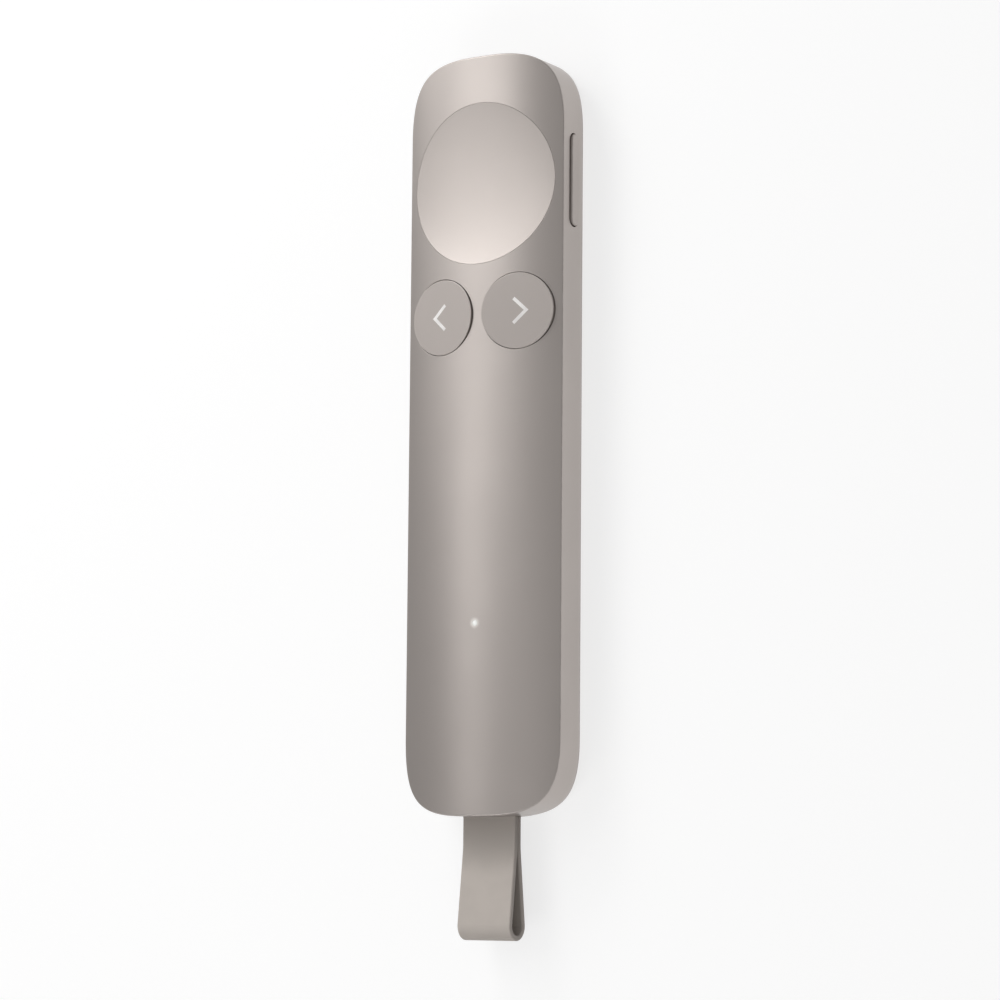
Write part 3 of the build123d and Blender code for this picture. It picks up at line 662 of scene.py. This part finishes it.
def pointer_button():
    """The large round dished cap, with its stem and the hooks that keep it in."""
    skin = Skin()
    reach = np.full(POINTER_SIDES, POINTER_CAP - POINTER_EDGE)
    _, spokes = circle(0, POINTER_Y, 1, POINTER_SIDES)
    for _ in range(4):
        plan = np.array([0, POINTER_Y]) + reach[:, None] * spokes
        height, normals = dish(*plan.T)
        centres = join(*plan.T, height) - POINTER_EDGE * normals
        distance = np.linalg.norm(centres[:, :2] - [0, POINTER_Y], axis=1)
        reach = reach + (POINTER_CAP - POINTER_EDGE) - distance
    side = join(*spokes.T, 0.0)
    rows, edge_normals, wear = rounding(centres, normals, side, POINTER_EDGE)
    skin.band(rows, edge_normals, wear=wear)
    skin.fill([rows[0]], dish_lift(), spacing=0.7)
    plan, _ = circle(0, POINTER_Y, POINTER_CAP, POINTER_SIDES)
    foot = join(*plan.T, dish(*plan.T, POINTER_THICKNESS)[0])
    skin.band([rows[-1], foot])
    root, _ = circle(0, POINTER_Y, POINTER_STEM, 40)
    root = join(*root.T, dish(*root.T, POINTER_THICKNESS)[0])
    skin.fill([foot, root], dish_lift(POINTER_THICKNESS), spacing=1.4)
    stem(skin, root, pointer_low[2])
    tip = (pointer_high[1] - pointer_low[1]) / 2
    hooks(skin, 0, POINTER_Y, POINTER_CAP - HOOK_ROOT, tip)
    skin.make("pointer_cap", "button_paint", "pointer", "pointer_button")


def chevron():
    """Outline of a chevron with square ends, its tip towards +X, round its middle."""
    back, tip = -LEGEND_WIDTH / 2, LEGEND_WIDTH / 2
    rise = LEGEND_HEIGHT / 2
    arm = math.hypot(LEGEND_WIDTH, rise)
    across = LEGEND_STROKE / 2 * np.array([rise, LEGEND_WIDTH]) / arm
    mitre = LEGEND_STROKE / 2 * arm / rise
    outer, inner = np.array([back, rise]) + across, np.array([back, rise]) - across
    flip = np.array([1, -1])
    return np.array([outer, (tip + mitre, 0), outer * flip, inner * flip, (tip - mitre, 0), inner])


def nav_button(name, side):
    """A flat round cap that lies on the slope of the crown, with a pocket for its chevron."""
    skin = Skin()
    middle = side * CAP_X
    tilt = math.asin(CAP_X / CROWN_RADIUS)
    slope = side * math.tan(tilt)
    up = np.array([side * math.sin(tilt), 0, math.cos(tilt)])
    face_height = crown(np.array([middle]))[0][0]

    def face(plan, drop=0.0):
        return join(*plan.T, face_height - slope * (plan[:, 0] - middle) - drop / math.cos(tilt))

    def face_lift(drop=0.0):
        return lambda flat: (face(flat, drop), np.broadcast_to(up, (len(flat), 3)))

    plan, spokes = circle(middle, CAP_Y, CAP_RADIUS - CAP_EDGE, CAP_SIDES)
    upward = np.broadcast_to(up, (len(plan), 3))
    rows, normals, wear = rounding(face(plan, CAP_EDGE), upward, join(*spokes.T, 0.0), CAP_EDGE)
    skin.band(rows, normals, wear=wear)
    mark = (chevron() + (LEGEND_SHIFT, 0)) * (side * math.cos(tilt), 1) + (middle, CAP_Y)
    pocket = face(mark)
    floor = pocket - LEGEND_DEPTH * up
    skin.fill([rows[0], pocket], face_lift(), spacing=0.8)
    skin.walls(pocket, floor)
    skin.fill([floor], face_lift(LEGEND_DEPTH), spacing=0.8)

    plan, _ = circle(middle, CAP_Y, CAP_RADIUS, CAP_SIDES)
    foot = face(plan, CAP_THICKNESS)
    skin.band([rows[-1], foot])
    root_plan, _ = circle(side * (CAP_X - CAP_THICKNESS * math.sin(tilt)), CAP_Y, CAP_STEM, 32)
    root = face(root_plan, CAP_THICKNESS)
    skin.fill([foot, root], face_lift(CAP_THICKNESS), spacing=1.2)
    stem(skin, root, cap_low[2])
    tip = (cap_high[1] - cap_low[1]) / 2
    hooks(skin, middle, CAP_Y, CAP_RADIUS - HOOK_ROOT, tip)
    skin.make(f"{name}_cap", "button_paint", name, f"{name}_button")


def side_key():
    """The pill-shaped key in the right side, its flange behind the wall and its stem."""
    skin = Skin()
    size = (KEY_SLOT[0] - 2 * KEY_SEAM, KEY_SLOT[1] - 2 * KEY_SEAM)
    shrunk, directions = stadium((KEY_Y, KEY_Z), *size, -KEY_EDGE)
    outward = join(np.ones(len(shrunk)), 0.0, 0.0)
    sideways = join(0 * shrunk[:, 0], *directions.T)
    rows, normals, wear = rounding(join(KEY_FACE - KEY_EDGE, *shrunk.T), outward, sideways, KEY_EDGE)
    skin.band(rows, normals, wear=wear)
    skin.fill([rows[0]], cross_lift(KEY_FACE), spacing=0.5, axes=(1, 2))
    side, _ = stadium((KEY_Y, KEY_Z), *size, 0)
    wide, _ = stadium((KEY_Y, KEY_Z), *KEY_SLOT, KEY_FLANGE_REACH)
    foot_x = KEY_FLANGE_TOP - KEY_FLANGE_THICKNESS
    loops = [join(KEY_FLANGE_TOP, *side.T), join(KEY_FLANGE_TOP, *wide.T), join(foot_x, *wide.T)]
    skin.band([rows[-1], loops[0]])
    skin.band(loops[:2])
    skin.band(loops[1:])
    root, _ = circle(KEY_Y, KEY_Z, KEY_STEM, 24)
    root = join(foot_x, *root.T)
    skin.fill([loops[2], root], cross_lift(foot_x), spacing=0.6, axes=(1, 2))
    end = join(key_low[0], *root[:, 1:].T)
    skin.band([root, end])
    skin.fill([end], cross_lift(key_low[0]), spacing=0.4, axes=(1, 2))
    skin.make("side_key_cap", "button_paint", "side", "side_key")


# -------- status light


def light_pipe():
    """A clear rod through the front, its end gently domed, with a flange that seats under it."""
    skin = Skin()
    flange_radius = (light_high[0] - light_low[0]) / 2
    flange_top = shell_high[2] - WALL - LIGHT_FLANGE_GAP
    flange_foot = flange_top - LIGHT_FLANGE_THICKNESS
    top = light_high[2]
    profile = [(LIGHT_RADIUS * share, top - LIGHT_DOME * share**2) for share in (0, 0.4, 0.75)]
    arc_radius, arc_height = LIGHT_RADIUS - LIGHT_EDGE, top - LIGHT_DOME - LIGHT_EDGE
    for turn in np.linspace(0, math.pi / 2, 5):
        corner = (arc_radius + LIGHT_EDGE * math.sin(turn), arc_height + LIGHT_EDGE * math.cos(turn))
        profile.append(corner)
    lower = [(LIGHT_RADIUS, flange_top), (flange_radius, flange_top), (flange_radius, flange_foot)]
    lower += [(LIGHT_RADIUS, flange_foot), (LIGHT_RADIUS, light_low[2]), (0, light_low[2])]
    _, spokes = circle(0, 0, 1, LIGHT_SIDES)

    def rings(steps):
        return [join(radius * spokes[:, 0], LIGHT_Y + radius * spokes[:, 1], z) for radius, z in steps]

    skin.band(rings(profile))
    chain = [profile[-1], *lower]
    for first in range(len(chain) - 1):
        skin.band(rings(chain[first : first + 2]))
    skin.make("light_rod", "light_pipe", "housing", "status_light_pipe")


# -------- strap


def strap_loop():
    """One endless soft band: round the pin, out as two strands, and round a teardrop loop.

    Its middle line is an arc about the pin, two easing curves, two straight strands, a wide arc
    and a straight run on each side, and the belly's arc. A rounded section is carried along it.
    """
    half = STRAP_BAND / 2
    pin_y = (pin_low[1] + pin_high[1]) / 2
    eye = (strap_high[1] - pin_y) - half
    tip = strap_low[1] + half
    belly = STRAP_BELLY - half
    flare = STRAP_FLARE + half
    belly_y = tip + belly
    along, rise = STRAP_NECK - belly_y, half + flare
    slope = math.asin((belly + flare) / math.hypot(along, rise)) - math.atan2(rise, along)
    turn = np.linspace(0, STRAP_EYE_ARC, 14)
    eye_arc = join(pin_y + eye * np.cos(turn), eye * np.sin(turn))
    leave, into = eye_arc[-1], np.array([pin_y - STRAND_START, half])
    knots = np.array([leave, leave + STRAP_EASING[0], into + STRAP_EASING[1], into])
    easing, _ = bezier(knots, np.linspace(0, 1, 12)[1:-1, None])
    strand = join(np.linspace(into[0], STRAP_NECK, 8)[:-1], half)
    bend = np.linspace(0, slope, 12)
    flaring = join(STRAP_NECK - flare * np.sin(bend), rise - flare * np.cos(bend))
    angles = np.linspace(math.pi / 2 - slope, math.pi, 24)
    belly_arc = join(belly_y + belly * np.cos(angles), belly * np.sin(angles))
    parts = np.linspace(0, 1, 14)[1:-1, None]
    straight = flaring[-1] * (1 - parts) + belly_arc[0] * parts
    upper = np.concatenate([eye_arc, easing, strand, flaring, straight, belly_arc])
    middle = np.concatenate([upper, (upper * (1, -1))[::-1][1:-1]])
    ahead = unit(np.roll(middle, -1, 0) - np.roll(middle, 1, 0))
    size = (strap_high[0] - strap_low[0], STRAP_BAND)
    section, section_facing = rounded_box((0, 0), *size, STRAP_EDGE, 0, per_corner=7, per_side=8)
    sideways = np.broadcast_to([1.0, 0.0, 0.0], (len(middle), 3))
    axes = np.stack([sideways, join(0.0, -ahead[:, 1], ahead[:, 0])], axis=1)
    rows = join(0.0, middle[:, 0], RECEIVER_Z + middle[:, 1])[:, None] + section @ axes
    normals = section_facing @ axes
    skin = Skin()
    rows = np.concatenate([rows, rows[:1]])
    normals = np.concatenate([normals, normals[:1]])
    # inner_side marks the faces that look into the loop, where the finish paints shade.
    skin.band(rows, normals, inner=np.clip(section_facing[:, 1], 0, 1))
    skin.make("strap_band", "strap_rubber", "receiver", "strap_loop")


# -------- finishes


class Value:
    """A shader socket that takes part in sums: an expression on values adds its Math nodes."""

    def __init__(self, finish, socket):
        self.finish = finish
        self.socket = socket

    def _math(self, operation, first, second):
        return self.finish.node("ShaderNodeMath", {"operation": operation}, {0: first, 1: second})

    def __add__(self, other):
        return self._math("ADD", self, other)

    def __radd__(self, other):
        return self._math("ADD", other, self)

    def __sub__(self, other):
        return self._math("SUBTRACT", self, other)

    def __rsub__(self, other):
        return self._math("SUBTRACT", other, self)

    def __mul__(self, other):
        return self._math("MULTIPLY", self, other)

    def __rmul__(self, other):
        return self._math("MULTIPLY", other, self)

    def between(self, low, high):
        """0 below low, 1 above high and smooth between them."""
        settings = {"interpolation_type": "SMOOTHSTEP"}
        inputs = {"Value": self, "From Min": low, "From Max": high}
        return self.finish.node("ShaderNodeMapRange", settings, inputs)


class Finish:
    """A node material with one Principled shader."""

    def __init__(self):
        self.material = bpy.data.materials.new("finish")
        self.material.use_nodes = True
        self.tree = self.material.node_tree
        self.shader = self.tree.nodes["Principled BSDF"]
        self.place = self.node("ShaderNodeTexCoord", output="Object")

    def node(self, kind, settings=None, inputs=None, output=0):
        """Adds a node, with its settings first and then its sockets' values or links."""
        made = self.tree.nodes.new(kind)
        for name, value in (settings or {}).items():
            setattr(made, name, value)
        for socket, value in (inputs or {}).items():
            self.put(made.inputs[socket], value)
        return Value(self, made.outputs[output])

    def put(self, socket, value):
        """Links a value to a socket, or sets the socket to a plain number or colour."""
        if isinstance(value, Value):
            self.tree.links.new(value.socket, socket)
        else:
            socket.default_value = value

    def set(self, **sockets):
        """Gives the Principled shader's sockets their values. An underscore stands for a space."""
        for name, value in sockets.items():
            self.put(self.shader.inputs[name.replace("_", " ")], value)

    def noise(self, size, detail=2.0, rough=0.5, stretch=None):
        """Soft noise with spots of about the given size in millimetres."""
        place = self.place
        if stretch:
            place = self.node("ShaderNodeMapping", None, {"Vector": place, "Scale": stretch})
        inputs = {"Vector": place, "Scale": 1 / (size * MM), "Detail": detail, "Roughness": rough}
        return self.node("ShaderNodeTexNoise", None, inputs)

    def mix(self, share, first, second):
        """Two colours blended by a share."""
        inputs = {"Factor": share, 6: first, 7: second}
        return self.node("ShaderNodeMix", {"data_type": "RGBA"}, inputs, output=2)

    def bump(self, height, depth, strength=1.0):
        """A Bump node from a height between 0 and 1 that stands for a depth in millimetres."""
        inputs = {"Height": height, "Distance": depth * MM, "Strength": strength}
        return self.node("ShaderNodeBump", None, inputs, output="Normal")

    def layer(self, name):
        """A value kept on the mesh: edge_wear is 1 along rounded edges, inner_side on inward sides."""
        return self.node("ShaderNodeAttribute", {"attribute_name": name}, output="Fac")

    def light_spill(self):
        """1 over the middle of the status light, fading to 0 a little beyond its rim."""
        lit_end = (0, LIGHT_Y * MM, light_high[2] * MM)
        inputs = {0: self.place, 1: lit_end}
        away = self.node("ShaderNodeVectorMath", {"operation": "DISTANCE"}, inputs, output="Value")
        return 1 - away.between(0.0, LIGHT_SPILL * MM)


def tint(red, green, blue):
    """A colour written as it shows on a screen, from 0 to 255, in the shader's linear light."""
    shown = np.array([red, green, blue]) / 255
    linear = np.where(shown > 0.04, ((shown + 0.055) / 1.055) ** 2.4, shown / 12.92)
    return (*linear.tolist(), 1.0)


def darker(colour, share):
    """A colour with its light cut to a share."""
    return (*(share * channel for channel in colour[:3]), 1.0)


BLACK = (0, 0, 0, 1)
# The status light's spill, painted as a glow in the housing's paint.
PAINTED_SPILL_COLOUR = (0.44, 0.45, 0.44, 1)
ROD_GLOW = (0.55, 0.545, 0.53, 1)


def satin_paint(colour, worn, roughness):
    """Warm grey metallic paint with a fine grain, faint clouding and paler, duller edges.

    Round the status light it carries a painted glow of the light's soft spill.
    """
    finish = Finish()
    grain = finish.noise(size=0.09, detail=1.0)
    cloud = finish.noise(size=14.0)
    wear = finish.layer("edge_wear") * finish.noise(size=2.4, detail=3.0).between(0.35, 0.65)
    tone = finish.mix(cloud.between(0.3, 0.7), colour, darker(colour, 0.97))
    finish.set(
        Base_Color=finish.mix(0.4 * wear, tone, worn),
        Roughness=roughness + 0.05 * (grain - 0.5) + 0.03 * cloud + 0.16 * finish.layer("edge_wear"),
        Metallic=0.8,
        Normal=finish.bump(grain, depth=0.002, strength=0.5),
        # Painted light: the paint itself glows round the status light.
        Emission_Color=finish.mix(finish.light_spill(), BLACK, PAINTED_SPILL_COLOUR),
        Emission_Strength=1.0,
    )
    return finish.material


def plain_finish(colour, roughness, metal=0.0, grain=0.2, depth=0.004, spread=0.06, **more):
    """A moulded or rolled surface: fine grain, uneven roughness and a slight drift of colour."""
    finish = Finish()
    spots = finish.noise(size=grain)
    drift = finish.noise(size=25 * grain)
    finish.set(
        Base_Color=finish.mix(drift.between(0.35, 0.7), colour, darker(colour, 0.86)),
        Roughness=roughness + spread * (spots - 0.5) + spread * (drift - 0.5),
        Metallic=metal,
        Normal=finish.bump(spots, depth, strength=0.6),
        **more,
    )
    return finish.material


def lit_rod(colour):
    """The translucent rod, lit from below: brightest in the middle of its end."""
    finish = Finish()
    finish.set(
        Base_Color=colour,
        Roughness=0.3 + 0.1 * finish.noise(size=0.3),
        Emission_Color=finish.mix(finish.light_spill(), BLACK, ROD_GLOW),
        Emission_Strength=1.0,
    )
    return finish.material


def brushed(colour, roughness, stretch):
    """Rolled or brushed metal: its grain is drawn out one way."""
    finish = Finish()
    lines = finish.noise(size=0.25, detail=3.0, stretch=stretch)
    drift = finish.noise(size=3.0)
    finish.set(
        Base_Color=finish.mix(drift.between(0.3, 0.7), colour, darker(colour, 0.85)),
        Roughness=roughness + 0.12 * (lines - 0.5),
        Metallic=1.0,
        Normal=finish.bump(lines, depth=0.002, strength=0.5),
    )
    return finish.material


def strap_rubber(colour):
    """Soft satin silicone with a powdery grain, with painted shade on the loop's inner side and a
    painted shadow of the housing near it.
    """
    finish = Finish()
    powder = finish.noise(size=0.12, detail=3.0)
    cloud = finish.noise(size=5.0)
    along = finish.node("ShaderNodeSeparateXYZ", None, {0: finish.place}, output="Y")
    # Painted shadow: the strap darkens towards the housing, where the housing's shadow falls.
    root = along.between(STRAP_PAINTED_SHADOW_START * MM, STRAP_PAINTED_SHADOW_FULL * MM)
    inner_side = finish.layer("inner_side")
    tone = finish.mix(cloud.between(0.3, 0.7), colour, darker(colour, 0.95))
    tone = finish.mix(root, tone, darker(colour, 0.72))
    finish.set(
        # Painted shade: the loop's inward faces are darker, where less light gets in.
        Base_Color=finish.mix(inner_side, tone, darker(colour, 0.8)),
        Roughness=0.55 + 0.1 * (powder - 0.5),
        Normal=finish.bump(powder, depth=0.006, strength=0.5),
        Specular_IOR_Level=0.4,
    )
    return finish.material


FINISHES = {
    "housing_paint": satin_paint(tint(192, 184, 179), tint(212, 205, 201), 0.34),
    "button_paint": satin_paint(tint(190, 182, 177), tint(210, 203, 199), 0.36),
    "legend_white": plain_finish(tint(252, 249, 247), 0.42, metal=0.8, grain=0.1),
    "light_pipe": lit_rod(tint(190, 192, 190)),
    "led_body": plain_finish(tint(238, 234, 222), 0.4),
    "circuit_board": plain_finish(tint(30, 84, 58), 0.35, grain=0.5),
    "screw_steel": brushed(tint(170, 170, 172), 0.3, (1, 1, 0.1)),
    "plug_steel": brushed(tint(196, 196, 198), 0.28, (1, 0.08, 1)),
    "dome_steel": brushed(tint(205, 202, 196), 0.2, (0.1, 1, 1)),
    "cell_pouch": plain_finish(tint(190, 192, 196), 0.34, metal=0.9, grain=0.6),
    "adhesive": plain_finish(tint(222, 220, 208), 0.7),
    "connector_white": plain_finish(tint(232, 230, 222), 0.5),
    "lead_insulation": plain_finish(tint(150, 26, 22), 0.5),
    "chip_black": plain_finish(tint(28, 28, 30), 0.5),
    "dark_plastic": plain_finish(tint(46, 44, 44), 0.5),
    "strap_rubber": strap_rubber(tint(207, 198, 190)),
}
for finish_name, material in FINISHES.items():
    material.name = finish_name


SHARP_ANGLE = math.radians(28)
WELD_DISTANCE = 1e-7


def soft_shading():
    """Modifier nodes that shade smooth across every edge but the sharp ones."""
    group = bpy.data.node_groups.new("soft_shading", "GeometryNodeTree")
    for way in ("INPUT", "OUTPUT"):
        group.interface.new_socket(name="Geometry", in_out=way, socket_type="NodeSocketGeometry")
    start, end = group.nodes.new("NodeGroupInput"), group.nodes.new("NodeGroupOutput")
    angle = group.nodes.new("GeometryNodeInputMeshEdgeAngle")
    gentle = group.nodes.new("FunctionNodeCompare")
    gentle.operation = "LESS_THAN"
    gentle.inputs["B"].default_value = SHARP_ANGLE
    kind = "GeometryNodeSetShadeSmooth"
    faces, edges = group.nodes.new(kind), group.nodes.new(kind)
    faces.domain, edges.domain = "FACE", "EDGE"
    link = group.links.new
    link(angle.outputs["Unsigned Angle"], gentle.inputs["A"])
    link(start.outputs[0], faces.inputs["Geometry"])
    link(faces.outputs[0], edges.inputs["Geometry"])
    link(gentle.outputs[0], edges.inputs["Shade Smooth"])
    link(edges.outputs[0], end.inputs[0])
    return group


def dress_construction():
    """Gives the construction nodes that stay their finish, and joins their loose triangles."""
    group = soft_shading()
    for part in frame["record"]["subparts"]:
        node = frame["nodes"][part["node"]]
        node.data.materials.clear()
        node.data.materials.append(FINISHES[part["material_slot"]])
        weld = node.modifiers.new("join_triangles", "WELD")
        weld.merge_threshold = WELD_DISTANCE
        shade = node.modifiers.new("soft_shading", "NODES")
        shade.node_group = group


# -------- stage, light and camera


FLOOR_REACH = 3000.0
FLOOR_DROP = 0.03
FLOOR_GREY = 0.35
FLOOR_GLOW = 0.72
SURROUND = 0.3
LAMP_DISTANCE = 500.0


def stage_floor():
    """A floor that glows white for the camera, and keeps the object's soft shadow."""
    square = FLOOR_REACH * MM * np.array([(-1, -1, 0), (1, -1, 0), (1, 1, 0), (-1, 1, 0)])
    mesh = bpy.data.meshes.new("floor")
    mesh.from_pydata((square - (0, 0, FLOOR_DROP * MM)).tolist(), [], [(0, 1, 2, 3)])
    floor = add_object("floor", mesh)
    finish = Finish()
    finish.material.name = "floor_white"
    grey = (FLOOR_GREY, FLOOR_GREY, FLOOR_GREY, 1)
    finish.set(Base_Color=grey, Roughness=0.9, Specular_IOR_Level=0.0)
    path = finish.node("ShaderNodeLightPath", output="Is Camera Ray")
    seen = Value(finish, path.socket.node.outputs["Is Glossy Ray"])
    through = Value(finish, path.socket.node.outputs["Is Transmission Ray"])
    glow = finish.node("ShaderNodeEmission", None, {"Strength": FLOOR_GLOW * (path + seen + through)})
    shader = Value(finish, finish.shader.outputs[0])
    total = finish.node("ShaderNodeAddShader", None, {0: shader, 1: glow})
    output = finish.tree.nodes["Material Output"]
    finish.tree.links.new(total.socket, output.inputs["Surface"])
    mesh.materials.append(finish.material)


def area_light(name, place, aim, size, power):
    """A soft rectangular lamp at a place, turned to what it lights. Lengths are in millimetres."""
    data = bpy.data.lights.new(name, "AREA")
    data.shape = "RECTANGLE"
    data.size, data.size_y = size[0] * MM, size[1] * MM
    data.energy = power
    lamp = add_object(name, data)
    place, aim = place * MM, aim * MM
    turned = (aim - place).to_track_quat("-Z", "Y").to_matrix().to_4x4()
    lamp.matrix_world = Matrix.Translation(place) @ turned


def lights():
    """A soft key from the left, fills round it, and a dim surround.

    Each lamp stands in the direction whose shares across and along are given. The key is a row of
    four, with three inside it and two low outside it. The rest are one beyond the far end, two
    overhead and one on each side of the near end.
    """
    aim = Vector((0, 0, 10))
    for name, across, along, size, power in (
        ("key_near", -0.55, -0.02, (170, 120), 0.054),
        ("key_middle", -0.55, 0.17, (170, 120), 0.055),
        ("key_far", -0.55, 0.36, (170, 120), 0.055),
        ("key_end", -0.55, 0.58, (170, 120), 0.186),
        ("inner", -0.33, 0.17, (80, 160), 0.031),
        ("inner_far", -0.33, 0.4, (120, 120), 0.079),
        ("inner_end", -0.33, 0.6, (120, 120), 0.058),
        ("low_left", -0.75, 0.2, (120, 200), 0.04),
        ("low_left_far", -0.78, 0.5, (120, 160), 0.129),
        ("back", -0.4, 0.8, (200, 150), 0.613),
        ("over_near", -0.12, -0.12, (120, 160), 0.018),
        ("over", 0.08, 0.1, (160, 250), 0.014),
        ("near_right", 0.45, -0.6, (300, 220), 0.146),
        ("near_left", -0.3, -0.7, (250, 200), 0.389),
    ):
        up = math.sqrt(1 - across**2 - along**2)
        area_light(name, aim + LAMP_DISTANCE * Vector((across, along, up)), aim, size, power)
    world = bpy.data.worlds.new("surround")
    bpy.context.scene.world = world
    world.use_nodes = True
    sky = world.node_tree.nodes["Background"].inputs
    sky["Color"].default_value = (1, 1, 1, 1)
    sky["Strength"].default_value = SURROUND


def camera():
    """A lens a few frame widths long, seen from the right and above the lower end.

    The object is turned, tilted and rolled in front of a camera that looks along +Y with the
    object standing on its end, and then the whole is laid on its back.
    """
    turn, tilt, roll = math.radians(32.06), math.radians(-6.82), math.radians(0.473)
    distance, side_shift, rise = 544.9, -2.674, 11.568
    standing_depth, frame_widths = 8.7, 3.1804
    view = Matrix.Rotation(roll, 3, "Y") @ Matrix.Rotation(tilt, 3, "X") @ Matrix.Rotation(-turn, 3, "Z")
    back = view.transposed()
    lay_down = Matrix(((1, 0, 0), (0, 0, 1), (0, -1, 0)))
    right, ahead, up = (lay_down @ back @ Vector(axis) for axis in ((1, 0, 0), (0, 1, 0), (0, 0, 1)))
    place = lay_down @ back @ Vector((-side_shift, -distance, -rise)) + Vector((0, 0, standing_depth))
    data = bpy.data.cameras.new("camera")
    data.sensor_width = 36.0
    data.lens = frame_widths * data.sensor_width
    data.clip_start, data.clip_end = 0.01, 20
    seen_from = add_object("camera", data)
    turned = Matrix((right, up, -ahead)).transposed().to_4x4()
    seen_from.matrix_world = Matrix.Translation(place * MM) @ turned
    bpy.context.scene.camera = seen_from


dress_construction()
front_shell()
rear_cover()
pointer_button()
nav_button("back", -1)
nav_button("next", 1)
side_key()
light_pipe()
strap_loop()
stage_floor()
lights()
camera()
bpy.context.scene.view_settings.view_transform = "Standard"
